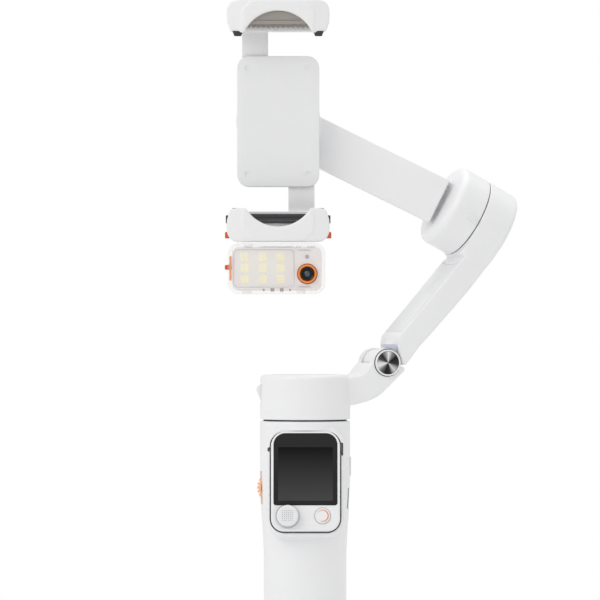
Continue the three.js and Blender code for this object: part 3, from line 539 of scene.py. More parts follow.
def makeLeg(index, angle):
    grip, inner, top = handle["gripRadius"], tripod["inner"], tripod["legLength"]
    profile = [(inner, 0), (grip - 1.2, 0), (grip - 0.35, 0.35), (grip, 1.2), (grip, top - 0.4),
               (grip - 0.4, top), (inner, top)]
    foot = latheShape([(1.5, 0), (inner + 1, 0), (inner + 1, 5), (1.5, 5)], 96)
    leg = boolean(latheShape(profile, 128), [foot], "UNION")
    boolean(leg, [wedgeShape(tripod["span"], 40, -5, 60)], "INTERSECT")
    half = tripod["tongueHalf"]
    tongue = boxShape((inner + 0.4, -half, top - 2), (grip - 0.1, half, tripod["pivotHeight"] + 3.1))
    boolean(leg, [tongue], "UNION")
    pivot = (tripod["pivotRadius"], tripod["pivotHeight"])
    bore = barShape(1.5, (pivot[0], -12, pivot[1]), (pivot[0], 12, pivot[1]), 40)
    tools = [bore]
    for i in range(3):  # shallow grip lines across the foot end
        tools.append(latheShape([(grip - 0.3, 5 + 2.2 * i), (grip + 2, 5 + 2.2 * i),
                                 (grip + 2, 5.7 + 2.2 * i), (grip - 0.3, 5.7 + 2.2 * i)], 128))
    if index:
        tools.append(barShape(3.3, (0, 0, -5), (0, 0, 12), 48))
    boolean(leg, tools)
    if index == 0:
        boolean(leg, [barShape(3.0, (0, 0, 0), (0, 0, 5), 48)], "UNION")
    edged(leg, 0.25, 2, 40)
    turn = Matrix.Rotation(math.radians(angle), 4, "Z")
    leg.data.transform(turn)
    finishPiece(leg, f"tripodLeg{index + 1}", "shell", f"leg_{index + 1}", (f"tripod_leg_{index + 1}",))
    sole = latheShape([(11.2, 0.02), (15.4, 0.02), (15.4, 0.5), (11.2, 0.5)], 96)
    boolean(sole, [wedgeShape(tripod["span"] - 24, 40, -5, 5)], "INTERSECT")
    sole.data.transform(Matrix.Translation((0, 0, -0.015)) @ turn)
    finishPiece(sole, f"footPad{index + 1}", "darkRubber", f"leg_{index + 1}", ())


def makeHub():
    grip = handle["gripRadius"]
    hub = latheShape([(0, 54.4), (grip - 0.4, 54.4), (grip, 54.8), (grip, 64.5), (grip - 0.4, 64.9),
                      (0, 64.9)], 128)
    half = tripod["tongueHalf"] + 0.4
    tools = []
    for angle in tripod["angles"]:
        turn = Matrix.Rotation(math.radians(angle), 4, "Z")
        tools.append(boxShape((tripod["inner"] - 0.8, -half, 50), (grip + 5, half, 70), turn))
        place = (tripod["pivotRadius"], tripod["pivotHeight"])
        ends = [turn @ Vector((place[0], y, place[1])) for y in (-half - 2.8, half + 2.8)]
        tools.append(barShape(1.5, *ends, 40))
    boolean(hub, tools)
    edged(hub, 0.25, 2, 40)
    finishPiece(hub, "tripodHub", "satin", "handle", ("tripod_hub",))
    for i, angle in enumerate(tripod["angles"]):
        turn = Matrix.Rotation(math.radians(angle), 4, "Z")
        reach = half + 2.5
        profile = [(0, -reach), (1.0, -reach), (1.2, -reach + 0.2), (1.2, reach - 0.2), (1.0, reach),
                   (0, reach)]
        place = turn @ Matrix.Translation((tripod["pivotRadius"], 0, tripod["pivotHeight"]))
        pin = latheShape(profile, 40, place @ Matrix.Rotation(math.pi / 2, 4, "X"))
        finishPiece(pin, f"legPin{i + 1}", "steel", "handle", (f"tripod_pin_{i + 1}",))


makeHub()
for i, angle in enumerate(tripod["angles"]):
    makeLeg(i, angle)
print("stage: tripod")


# ---- Pan head and lower arm ----
head = {
    "radius": 18.6,
    "topEdge": 1.9,
    "capRadius": 13.0,
    "wall": 1.8,
    "armFront": -11.5,
    "armBack": 8.5,
    "kneeRadius": 5.9,
    "voxel": 0.42,
    "softening": 7,
    "discRadius": 4.7,
    "ringRadius": 5.45,
}
upperArm = {
    "front": -11.5,
    "back": 11.5,
    "tongueFront": -5.7,
    "tongueBack": 3.7,
    "cupRadius": 17.42,
    "cupDepth": 14.3,
    "cupWall": 2.0,
    "seamHalf": 0.24,
    "seamChamfer": 0.3,
    "seamReach": 1.5,  # how far past the cup the arm is cleared
    "stripWidth": 20.6,
    "stripHollow": 1.6,
    "voxel": 0.45,
    "softening": 9,
}


def roundedLine(points, reach, steps=6):
    # The closed line through the points, with each corner eased over a length of reach.
    line = []
    count = len(points)
    for i, point in enumerate(points):
        before, corner, after = Vector(points[i - 1]), Vector(point), Vector(points[(i + 1) % count])
        back = before - corner
        ahead = after - corner
        start = corner + back.normalized() * min(reach, back.length * 0.45)
        end = corner + ahead.normalized() * min(reach, ahead.length * 0.45)
        for k in range(steps + 1):
            t = k / steps
            line.append(tuple(start * (1 - t) ** 2 + corner * 2 * t * (1 - t) + end * t * t))
    return line


def fromKnee(points):
    return [(kneeU + u, kneeZ + z) for u, z in points]


def kneeBar(radius, y0, y1, steps=64):
    return barShape(radius, armFrame @ Vector((kneeU, y0, kneeZ)), armFrame @ Vector((kneeU, y1, kneeZ)),
                    steps)


def hullOf(points, name="hull"):
    shape = bmesh.new()
    for point in points:
        shape.verts.new(point)
    made = bmesh.ops.convex_hull(shape, input=shape.verts)
    bmesh.ops.delete(shape, geom=[v for v in made["geom_interior"] if isinstance(v, bmesh.types.BMVert)],
                     context="VERTS")
    return toObject(name, shape)


def ringPoints(place, radius, height, count=48):
    turns = (2 * math.pi * i / count for i in range(count))
    return [place @ Vector((radius * math.cos(t), radius * math.sin(t), height)) for t in turns]


def makePanArm():
    r, edge = head["radius"], head["topEdge"]
    rim = arcPoints(r - edge, headTop - edge, edge, 0, 90, 8)
    body = latheShape([(0, headFloor - 1.5), (r, headFloor - 1.5), *rim, (0, headTop)], 128)
    outline = fromKnee([(-26, -16.2), (-14.6, -17.5), (-7.4, -15.6), (-3.1, -13.4), (7.9, -3.2), (7.5, -1.75),
                        (5.6, -1.5),
                        (0, 3), (-5.6, 0.5), (-8.0, -1.6), (-10.2, -5.0), (-16, -5.8), (-26, -5.8)])
    beam = plateShape(roundedLine(outline, 1.6), head["armFront"], head["armBack"], armFrame)
    knuckle = kneeBar(head["kneeRadius"], head["armFront"], head["armBack"])
    arm = moulded(together([body, beam, knuckle], "panArm"), head["voxel"], head["softening"])
    slotTools = [
        kneeBar(head["kneeRadius"] + 0.4, upperArm["tongueFront"] - 0.4, upperArm["tongueBack"] + 0.4),
        boxShape((kneeU, upperArm["tongueFront"] - 0.4, kneeZ - 1.6),
                 (kneeU + 20, upperArm["tongueBack"] + 0.4, kneeZ + 20), armFrame),
        kneeBar(2.5, -30, 30, 32),
    ]
    inner = r - head["wall"]
    cavity = latheShape([(0, headFloor - 5), (inner + 0.6, headFloor - 5), (inner + 0.6, headFloor + 0.3),
                         (inner, headFloor + 0.6), (inner, headTop - 3), (0, headTop - 3)], 96)
    under = latheShape([(0, headFloor - 5), (30, headFloor - 5), (30, headFloor + 0.4),
                        (r + 0.05, headFloor + 0.4),
                        (r - 0.35, headFloor), (0, headFloor)], 128)
    seat = latheShape([(0, headTop - 1.2), (head["capRadius"] + 0.3, headTop - 1.2),
                       (head["capRadius"] + 0.3, headTop + 5), (0, headTop + 5)], 96)
    window = plateShape(roundedOutline(-4.75, 6.2, 157.3, 165.0, 0.8), 14, 26, sideways)
    boolean(arm, [*slotTools, cavity, under, seat, window])
    return arm


finishPiece(makePanArm(), "headAndLowerArm", "shell", "head", ("pan_arm",))

cap = head["capRadius"]
capLow = headTop - 0.9
lid = latheShape([(0, capLow), (cap - 0.05, capLow), (cap, capLow + 0.2), (cap, headTop - 0.35),
                  (cap - 0.3, headTop - 0.1), (0, headTop - 0.1)], 128)
finishPiece(lid, "headLid", "satin", "head", ("head_cap",))
gapRing = latheShape([(16.5, handleTop - 1.0), (17.1, handleTop - 1.0), (17.1, handleTop + 0.42),
                      (16.5, handleTop + 0.42)], 128)
finishPiece(gapRing, "headSeam", "seam", "handle", ())


def makeHingeCaps():
    # Front: a bright spun disc in a white ring, its wedges of light and dark a painted reflection. Rear: a
    # screwed steel cover.
    face = Matrix.Translation(armFrame
                              @ Vector((kneeU, head["armFront"],
                                        kneeZ))) @ armFrame @ Matrix.Rotation(math.pi / 2, 4, "X")
    disc, ring = head["discRadius"], head["ringRadius"]
    rim = latheShape([(disc + 0.1, 0.3), (ring, 0.3), (ring, 0.95), (ring - 0.25, 1.25), (disc + 0.35, 1.25),
                      (disc + 0.1, 1.0)], 96, face)
    finishPiece(rim, "hingeRing", "shell", "head", ("fold_cap_front",))
    line = latheShape([(ring - 0.1, 0.02), (ring + 0.28, 0.02), (ring + 0.28, 0.12), (ring - 0.1, 0.3)], 96,
                      face)
    finishPiece(line, "hingeGap", "seam", "head", ())
    spun = latheShape([(0, 0.3), (disc, 0.3), (disc, 0.85), (disc - 0.3, 1.05), (1.5, 0.95), (0, 0.95)], 96,
                      face)
    finishPiece(spun, "hingeDisc", "spunSteelPaintedReflection", "head", ())
    back = Matrix.Translation(armFrame
                              @ Vector((kneeU, head["armBack"],
                                        kneeZ))) @ armFrame @ Matrix.Rotation(-math.pi / 2, 4, "X")
    cover = latheShape([(0, 0.3), (ring, 0.3), (ring, 1.0), (ring - 0.3, 1.3), (2.4, 1.3), (2.2, 1.1),
                        (2.0, 0.8), (0, 0.8)], 96, back)
    socket = plateShape([(1.15 * math.cos(math.radians(a)), 1.15 * math.sin(math.radians(a)))
                         for a in range(0, 360, 60)],
                        -2, -0.45, back @ Matrix.Rotation(math.pi / 2, 4, "X"))
    boolean(cover, [socket])
    finishPiece(cover, "hingeCover", "steel", "head", ("fold_cap_rear",))
    pin = kneeBar(2.2, head["armFront"], head["armBack"], 48)
    finishPiece(edged(pin, 0.2, 2), "hingePin", "steel", "head", ("fold_pin",))


# Spun steel whose wedges of light and dark round the disc are a painted reflection, fixed to the disc.
def makePaintedReflectionSteel():
    surface = makeFinish("spunSteelPaintedReflection", (0.62, 0.62, 0.63), 0.3, 900, 0.0, 0.0, 1.0)
    nodes, links = surface.node_tree.nodes, surface.node_tree.links
    shader = nodes["Principled BSDF"]
    place = nodes.new("ShaderNodeMapping")
    place.vector_type = "TEXTURE"
    centre = armFrame @ Vector((kneeU, head["armFront"], kneeZ))
    place.inputs["Location"].default_value = centre * mm
    place.inputs["Rotation"].default_value = (math.pi / 2, 0, armYaw)
    coords = nodes.new("ShaderNodeTexCoord")
    sweep = nodes.new("ShaderNodeTexGradient")
    sweep.gradient_type = "RADIAL"
    ramp = nodes.new("ShaderNodeValToRGB")
    # Greys of the painted reflection wedges, going round the disc.
    reflectionGreys = [(0.0, 0.85), (0.05, 0.95), (0.12, 0.2), (0.2, 0.02), (0.29, 0.05), (0.36, 0.75), (0.4, 0.55),
             (0.47, 0.06), (0.6, 0.02), (0.68, 0.3), (0.74, 0.95), (0.79, 0.4), (0.86, 0.03), (0.94, 0.1),
             (1.0, 0.85)]
    while len(ramp.color_ramp.elements) < len(reflectionGreys):
        ramp.color_ramp.elements.new(0.5)
    for element, (position, grey) in zip(ramp.color_ramp.elements, reflectionGreys):
        element.position = position
        element.color = (grey, grey, grey, 1)
    links.new(coords.outputs["Object"], place.inputs["Vector"])
    links.new(place.outputs["Vector"], sweep.inputs["Vector"])
    links.new(sweep.outputs["Color"], ramp.inputs["Fac"])
    links.new(ramp.outputs["Color"], shader.inputs["Base Color"])
    return surface


finishes["spunSteelPaintedReflection"] = makePaintedReflectionSteel()
makeHingeCaps()
# A blue-grey plate in the slot above the knee: painted shade where the tongue sits deep in the slot.
slotShadeFill = plateShape(fromKnee([(-1.7, 6.5), (3.7, 5.6), (3.4, 7.6), (-1.4, 7.7)]), head["armFront"] - 0.05,
                      -8, armFrame)
finishPiece(edged(slotShadeFill, 0.15, 2), "hingeSlot", "kneeSlotShade", "upper_arm", ())
print("stage: pan head")


# ---- Upper arm with the fixed half of the tilt motor ----
def seamTool(place, radius, above, half, chamfer):
    # Everything past the seam plane, widened by a small chamfer at the rim.
    sign = 1 if above else -1
    reach = radius + upperArm["seamReach"]
    points = [(0, -half), (radius - chamfer, -half), (radius + 0.1, -half - chamfer - 0.1),
              (reach, -half - chamfer - 0.1), (reach, 70), (0, 70)]
    return latheShape([(r, sign * h) for r, h in points], 128, place)


def armStrip(grow, depth):
    # A strip let into the arm's inner side, straight at its lower end and hollow at its upper end.
    low, high = (Vector(p) for p in fromKnee([(6.9, 13.0), (32.0, 41.9)]))
    along = (high - low).normalized()
    length = (high - low).length
    half, top = upperArm["stripWidth"] / 2 + grow, length + grow
    outline = [(-half, -grow), (half, -grow), (half, top)]
    outline += [(half * x / 6, top - upperArm["stripHollow"] * (1 - (x / 6) ** 2)) for x in range(5, -6, -1)]
    outline.append((-half, top))
    # Across lies along the arm's thickness, up along the strip, and the plate's thickness goes inward.
    turn = Matrix(((0, along.y, along.x, low.x), (1, 0, 0, 0), (0, -along.x, along.y, low.y), (0, 0, 0, 1)))
    return plateShape(outline, -grow * 4, depth, armFrame @ turn)


def makeUpperArm():
    outline = fromKnee([(8.2, -1.2), (7.2, -1.2), (5.9, 1.5), (4.4, 7.2), (5.2, 11.0), (16.8, 24.1),
                        (32.6, 42.6),
                        (44, 50), (50.3, 48.2), (46.4, 42.6), (35.6, 29.6), (21.2, 13.9), (13.9, 6.3)])
    beam = plateShape(roundedLine(outline, 1.4), upperArm["front"], upperArm["back"], armFrame)
    web = plateShape(fromKnee([(2, 2.8), (7, 0.4), (9, 2.4), (7, 12.4), (2.6, 6.2)]),
                     upperArm["tongueFront"], upperArm["tongueBack"], armFrame)
    boolean(beam, [kneeBar(head["kneeRadius"] + 0.4, -30, upperArm["tongueFront"]),
                   kneeBar(head["kneeRadius"] + 0.4, upperArm["tongueBack"], 30)])
    tongue = kneeBar(head["kneeRadius"] - 0.3, upperArm["tongueFront"], upperArm["tongueBack"])
    r, depth = upperArm["cupRadius"], upperArm["cupDepth"]
    # The arm swells evenly into the motor's round housing.
    swell = [armFrame @ Vector((u, w, z)) for w in (upperArm["front"], upperArm["back"])
             for u, z in fromKnee([(34.0, 44.2), (44.2, 40.0), (50.1, 47.8), (53.4, 54.2), (55.8, 60.4)])]
    for radius, height in ((r, 1.5), (r, -3), (r - 0.2, -depth + 1.2), (r - 1.4, -depth + 0.1)):
        swell += ringPoints(tiltFrame, radius, height)
    arm = together([beam, web, tongue, hullOf(swell)], "upperArm")
    arm = moulded(arm, upperArm["voxel"], upperArm["softening"])
    wall = r - upperArm["cupWall"]
    cavity = latheShape([(0, -depth + 2), (wall, -depth + 2), (wall, 5), (0, 5)], 96, tiltFrame)
    seam = seamTool(tiltFrame, r, True, upperArm["seamHalf"], upperArm["seamChamfer"])
    seat = armStrip(0.12, 1.3)
    return boolean(arm, [cavity, seam, seat, kneeBar(2.5, -30, 30, 32)])


finishPiece(makeUpperArm(), "upperArmShell", "shell", "upper_arm", ("upper_arm",))
strip = edged(armStrip(0, 1), 0.12, 2)
finishPiece(strip, "armWiringCover", "satin", "upper_arm", ("arm_wiring_cover",))
shadow = latheShape([(11, -0.2), (16.35, -0.2), (16.35, 0.2), (11, 0.2)], 96, tiltFrame)
finishPiece(shadow, "tiltSeamRing", "seam", "upper_arm", ())
print("stage: upper arm")


# ---- Tilt arm: moving half of the tilt motor, bar and roll motor housing ----
tiltArm = {
    "cupDepth": 13.2,
    "rollRadius": 17.5,
    "rollDepth": 14.5,
    "barWidth": 19.5,
    "barFront": 12.4,
    "barThick": 10.2,
    "lugTurn": -8,  # degrees round the tilt axis from the front
    "voxel": 0.45,
    "softening": 6,
}
rollX, rollSeamY, rollZ = rollPoint


def barSpan(width, start, end, y0, y1):
    # A flat bar between two distances from the roll axis, towards the tilt motor.
    far = tiltFrame @ Vector((0, 0, tiltArm["cupDepth"]))
    middle = Vector((rollX, rollZ))
    along = (Vector((far.x, far.z)) - middle).normalized()
    side = Vector((-along.y, along.x)) * width / 2
    low, high = middle + along * start, middle + along * end
    return plateShape([tuple(p) for p in (low - side, high - side, high + side, low + side)], y0, y1)


def makeTiltArm():
    r, depth = upperArm["cupRadius"], tiltArm["cupDepth"]
    far = tiltFrame @ Vector((0, 0, depth))
    reach = (Vector((far.x, far.z)) - Vector((rollX, rollZ))).length
    cup = latheShape([(0, -1.5), (r, -1.5), (r, depth - 3.2), *arcPoints(r - 2.6, depth - 2.6, 2.6, 0, 90, 8),
                      (0, depth)], 128, tiltFrame)
    place = Matrix.Translation((rollX, rollSeamY, rollZ)) @ Matrix.Rotation(-math.pi / 2, 4, "X")
    rollR, back = tiltArm["rollRadius"], tiltArm["rollDepth"]
    housing = latheShape([(0, -1.5), (rollR, -1.5), (rollR, back - 2.4),
                          *arcPoints(rollR - 2.4, back - 2.4, 2.4, 0, 90, 8), (0, back)], 128, place)
    y0 = tiltArm["barFront"]
    beam = barSpan(tiltArm["barWidth"], 0, reach - 1, y0, y0 + tiltArm["barThick"])
    arm = moulded(together([cup, housing, beam], "tiltArm"), tiltArm["voxel"], tiltArm["softening"])
    wall = r - 2
    tiltCavity = latheShape([(0, -5), (wall, -5), (wall, depth - 3.2), (0, depth - 3.2)], 96, tiltFrame)
    rollWall = rollR - 2
    rollCavity = latheShape([(0, -5), (rollWall, -5), (rollWall, back - 2), (0, back - 2)], 96, place)
    seam = seamTool(tiltFrame, r, False, upperArm["seamHalf"], upperArm["seamChamfer"])
    rollTrim = latheShape([(0, -20), (40, -20), (40, 0.45), (rollR + 0.1, 0.45), (rollR - 0.3, 0.15),
                           (0, 0.15)], 128, place)
    seat = barSpan(tiltArm["barWidth"] - 5.4, 28.1, 61.6, y0 + tiltArm["barThick"] - 1.3, y0 + 30)
    return boolean(arm, [tiltCavity, rollCavity, seam, rollTrim, seat])


finishPiece(makeTiltArm(), "tiltArmShell", "shell", "tilt_arm", ("tilt_arm",))
lugFrame = tiltFrame @ Matrix.Rotation(math.radians(tiltArm["lugTurn"]), 4, "Z")
radius = upperArm["cupRadius"]
lug = plateShape(roundedOutline(-1.5, 1.5, 0.9, 6.2, (0.2, 1.45, 1.45, 0.2)), -radius - 0.65, -radius + 1.5,
                 lugFrame)
finishPiece(edged(lug, 0.4, 4), "tiltStopLug", "satin", "tilt_arm", ())
backY = tiltArm["barFront"] + tiltArm["barThick"]
cover = edged(barSpan(tiltArm["barWidth"] - 6, 28.4, 61.3, backY - 1, backY), 0.35, 3)
finishPiece(cover, "tiltBarCover", "satin", "tilt_arm", ("tilt_arm_cover",))
print("stage: tilt arm")


# ---- Phone clamp ----
clamp = {
    "half": 17.0,
    "rise": 27.0,
    "coverFront": 1.0,
    "coverBack": 2.0,
    "back": 8.9,
    "stemWidth": 10.8,
    "stemInset": 4.2,
    "stemThick": 4.0,
    "stemLength": 46.0,
    "pinionRadius": 3.6,
}
jaw = {
    "half": 21.3,
    "front": -11.0,
    "back": 8.9,
    "seat": 40.2,  # from the clamp's centre to the face the phone's edge rests on
    "height": 9.7,
    "lipReach": 36.3,
    "lipBack": -7.9,
    "archRadius": 15.5,
    "upperArch": 45.1,
    "lowerArch": 43.5,
    "bandHalf": 14.9,
    "bandBend": 6.8,
    "corner": 4.6,
    "voxel": 0.38,
    "softening": 7,
    "lobeInset": 0.42,
    "lobeLean": 12,  # degrees the outer lobes slope back
    "leanFrom": 14.6,
}
clampFrame = Matrix.Translation((rollX, 0, rollZ))
stemFront = clamp["coverBack"] + 0.6
stemBack = stemFront + clamp["stemThick"]


def makeClampBody():
    half, rise = clamp["half"], clamp["rise"]
    outline = roundedOutline(-half, half, -rise, rise, 5)
    body = plateShape(outline, clamp["coverBack"] + 0.3, clamp["back"], clampFrame)
    channel = boxShape((-half + 1.6, 1, -rise - 5), (half - 1.6, stemBack + 0.4, rise + 5), clampFrame)
    edged(body, 0.8, 4)
    boolean(body, [channel])
    finishPiece(body, "clampBody", "shell", "clamp", ("clamp_body",))
    front = plateShape(outline, clamp["coverFront"], clamp["coverBack"], clampFrame)
    holes = [barShape(1.3, clampFrame @ Vector((x, 0, z)), clampFrame @ Vector((x, 1.35, z)), 32)
             for x in (-12.5, 12.5) for z in (-22, 22)]
    boolean(edged(front, 0.3, 3), holes)
    finishPiece(front, "clampCover", "satin", "clamp", ("clamp_cover",))
    pinion = []
    for i in range(28):
        angle = 2 * math.pi * i / 28
        radius = clamp["pinionRadius"] - (0.5 if i % 2 else 0)
        pinion.append((radius * math.cos(angle), radius * math.sin(angle)))
    gear = plateShape(pinion, stemFront, stemBack, clampFrame)
    finishPiece(gear, "rackPinion", "satin", "pinion", ("jaw_pinion",))


makeClampBody()


def jawOutline():
    # Half of the jaw's front, from its middle outwards, as (across, out from the clamp's centre).
    half, high, low = jaw["half"], jaw["seat"] + jaw["height"], jaw["lipReach"]
    return [(half - 4.6, high), (half - 2.0, high - 0.7), (half - 0.7, high - 2.4), (half, high - 5.4),
            (half - 0.3, low + 4.2), (half - 1.6, low)]


def jawArch(top):
    # The arch over the phone's edge, a part of a circle.
    radius = jaw["archRadius"]
    centre = top - radius
    start = math.degrees(math.asin((jaw["lipReach"] - 0.5 - centre) / radius))
    return arcPoints(0, centre, radius, start, 180 - start, 40)


def makeJaw(name, flipped):
    half, seat, high = jaw["half"], jaw["seat"], jaw["seat"] + jaw["height"]
    sign = -1 if flipped else 1
    place = clampFrame @ Matrix.Scale(sign, 4, (0, 0, 1))
    lobe = jawOutline()
    arch = jawArch(jaw["lowerArch"] if flipped else jaw["upperArch"])
    lobeFront = jaw["front"] + jaw["lobeInset"]
    outline = [(-x, z) for x, z in lobe[::-1]] + lobe + arch
    lobes = plateShape(roundedLine(outline, 1.2, 3), lobeFront, jaw["lipBack"], place)
    for edge in (-1, 1):
        lean = Matrix.Rotation(math.radians(edge * jaw["lobeLean"]), 4, "Z")
        lean = place @ Matrix.Translation((edge * jaw["leanFrom"], lobeFront, 0)) @ lean
        x0, x1 = sorted((0, edge * 20))
        boolean(lobes, [boxShape((x0, -6, 30), (x1, 0, 60), lean)])
    softSide = edged(lobes, 1.3, 5, 60)
    bandHalf, bend, top = jaw["bandHalf"], jaw["bandBend"], high - 0.2
    rise = arcPoints(bandHalf - bend, top - bend, bend, 0, 90, 16)
    band = [(bandHalf - 0.5, jaw["lipReach"] + 0.2), (bandHalf, jaw["lipReach"] + 4)] + rise
    band += [(-x, z) for x, z in band[::-1]]
    strap = plateShape(band + arch[::-1], jaw["front"], jaw["lipBack"] - 0.2, place)
    strap = edged(strap, 0.5, 3, 60)
    corner = jaw["corner"]
    block = plateShape(roundedOutline(-half + 0.2, half - 0.2, seat, high - 0.1, (0.6, corner, corner, 0.6)),
                       jaw["lipBack"] - 1.4, jaw["back"], place)
    boolean(block, [plateShape(arch, jaw["lipBack"] - 5, jaw["lipBack"], place)])
    back = boxShape((-half + 2, 1.1, seat - 3), (half - 2, jaw["back"], seat + 1), place)
    body = together([block, softSide, strap, back], name)
    body = moulded(body, jaw["voxel"], jaw["softening"])
    side = 1 if flipped else -1
    stemX = side * (clamp["stemInset"] + clamp["stemWidth"] / 2)
    low, wide = seat - clamp["stemLength"], clamp["stemWidth"] / 2
    stem = boxShape((stemX - wide, stemFront, low), (stemX + wide, stemBack, seat + 1), place)
    boolean(body, [edged(stem, 0.3, 2)], "UNION")
    return body


upperJaw = makeJaw("upperJaw", False)
finishPiece(upperJaw, "upperJaw", "jawWhite", "upper_jaw", ("upper_jaw",))
lowerJaw = makeJaw("lowerJaw", True)
pinY, pinZ = -5, rollZ - 47.1  # where the cross pin runs through the lower jaw
bore = barShape(1.65, (rollX - 40, pinY, pinZ), (rollX + 40, pinY, pinZ), 40)
boolean(lowerJaw, [bore])
finishPiece(lowerJaw, "lowerJaw", "jawWhite", "lower_jaw", ("lower_jaw",))
print("stage: clamp and jaws")


# ---- Repeated details, made by one node tree ----
def makeRepeatTree(name, onRing):
    # Blocks or studs on a grid, or round a ring, with their sizes as named inputs.
    tree = bpy.data.node_groups.new(name, "GeometryNodeTree")
    face = tree.interface
    face.new_socket("Geometry", in_out="OUTPUT", socket_type="NodeSocketGeometry")
    names = ["Count across", "Count up", "Spacing across", "Spacing up", "Item width", "Item depth",
             "Item height",
             "Ring radius"]
    for socket in names:
        kind = "NodeSocketInt" if socket.startswith("Count") else "NodeSocketFloat"
        face.new_socket(socket, in_out="INPUT", socket_type=kind)
    face.new_socket("Round items", in_out="INPUT", socket_type="NodeSocketBool")
    face.new_socket("Material", in_out="INPUT", socket_type="NodeSocketMaterial")
    nodes, links = tree.nodes, tree.links
    given = nodes.new("NodeGroupInput").outputs
    out = nodes.new("NodeGroupOutput")

    def maths(operation, *values):
        node = nodes.new("ShaderNodeMath")
        node.operation = operation
        for socket, value in zip(node.inputs, values):
            if isinstance(value, (int, float)):
                socket.default_value = value
            else:
                links.new(value, socket)
        return node.outputs[0]

    block = nodes.new("GeometryNodeMeshCube")
    size = nodes.new("ShaderNodeCombineXYZ")
    for axis, socket in zip("XYZ", ("Item width", "Item depth", "Item height")):
        links.new(given[socket], size.inputs[axis])
    links.new(size.outputs[0], block.inputs["Size"])
    stud = nodes.new("GeometryNodeMeshUVSphere")
    stud.inputs["Segments"].default_value = 10
    stud.inputs["Rings"].default_value = 6
    links.new(maths("MULTIPLY", given["Item width"], 0.5), stud.inputs["Radius"])
    choose = nodes.new("GeometryNodeSwitch")
    choose.input_type = "GEOMETRY"
    links.new(given["Round items"], choose.inputs["Switch"])
    links.new(block.outputs["Mesh"], choose.inputs["False"])
    links.new(stud.outputs["Mesh"], choose.inputs["True"])
    spread = nodes.new("GeometryNodeInstanceOnPoints")
    if onRing:
        points = nodes.new("GeometryNodeMeshCircle")
        links.new(given["Count across"], points.inputs["Vertices"])
        links.new(given["Ring radius"], points.inputs["Radius"])
        step = maths("DIVIDE", 2 * math.pi, given["Count across"])
        turn = maths("MULTIPLY", nodes.new("GeometryNodeInputIndex").outputs[0], step)
        spin = nodes.new("ShaderNodeCombineXYZ")
        links.new(turn, spin.inputs["Z"])
        links.new(spin.outputs[0], spread.inputs["Rotation"])
    else:
        points = nodes.new("GeometryNodeMeshGrid")
        for axis, count, gap in (("X", "Count across", "Spacing across"), ("Y", "Count up", "Spacing up")):
            span = maths("MULTIPLY", maths("SUBTRACT", given[count], 1), given[gap])
            links.new(span, points.inputs["Size " + axis])
            links.new(given[count], points.inputs["Vertices " + axis])
    toPoints = nodes.new("GeometryNodeMeshToPoints")
    links.new(points.outputs["Mesh"], toPoints.inputs["Mesh"])
    links.new(toPoints.outputs["Points"], spread.inputs["Points"])
    links.new(choose.outputs["Output"], spread.inputs["Instance"])
    real = nodes.new("GeometryNodeRealizeInstances")
    paint = nodes.new("GeometryNodeSetMaterial")
    links.new(spread.outputs["Instances"], real.inputs["Geometry"])
    links.new(real.outputs["Geometry"], paint.inputs["Geometry"])
    links.new(given["Material"], paint.inputs["Material"])
    links.new(paint.outputs["Geometry"], out.inputs["Geometry"])
    return tree


gridTree = makeRepeatTree("detailGrid", False)
ringTree = makeRepeatTree("detailRing", True)


def repeated(tree, place, finish, **sizes):
    # The tree's result as a plain mesh, laid on place: across is X, up is Y, out is Z.
    holder = bpy.data.objects.new("repeated", bpy.data.meshes.new("repeated"))
    bpy.context.scene.collection.objects.link(holder)
    change = holder.modifiers.new("details", "NODES")
    change.node_group = tree
    sockets = {item.name: item.identifier for item in tree.interface.items_tree if item.in_out == "INPUT"}
    values = {"Count across": 1, "Count up": 1, "Spacing across": 1.0, "Spacing up": 1.0, "Item width": 1.0,
              "Item depth": 1.0, "Item height": 1.0, "Ring radius": 1.0, "Round items": False}
    values.update(sizes)
    for socket, value in values.items():
        change[sockets[socket]] = value
    change[sockets["Material"]] = finishes[finish]
    holder.update_tag()
    settle(holder)
    holder.data.transform(place)
    return holder


# ---- Pads, tips, tabs and pins of the jaws ----
padDetails = {"ribs": 17, "ribWidth": 1.1, "ribHeight": 0.5, "ribPitch": 2.05}


def makePad(body, node, finish, sign):
    place = clampFrame @ Matrix.Scale(sign, 4, (0, 0, 1))
    x = jaw["half"] - 3
    top = jaw["seat"] - 0.3
    low = top - 1.4
    base = plateShape(roundedOutline(-x, x, low + padDetails["ribHeight"], top, 0.4), -7.6, 0.6, place)
    edged(base, 0.15, 2)
    spot = place @ Matrix.Translation((0, -3.5, low + padDetails["ribHeight"] / 2 + 0.05))
    ribs = repeated(gridTree, spot, finish, **{
        "Count across": padDetails["ribs"], "Spacing across": padDetails["ribPitch"],
        "Item width": padDetails["ribWidth"],
        "Item depth": 7.6, "Item height": padDetails["ribHeight"] + 0.1})
    pad = together([base, edged(ribs, 0.12, 2)], "pad")
    finishPiece(pad, node.replace("_", "") + "Rubber", finish, body, (node,))


makePad("upper_jaw", "upper_pad", "warmRubber", 1)
makePad("lower_jaw", "lower_pad", "darkRubber", -1)


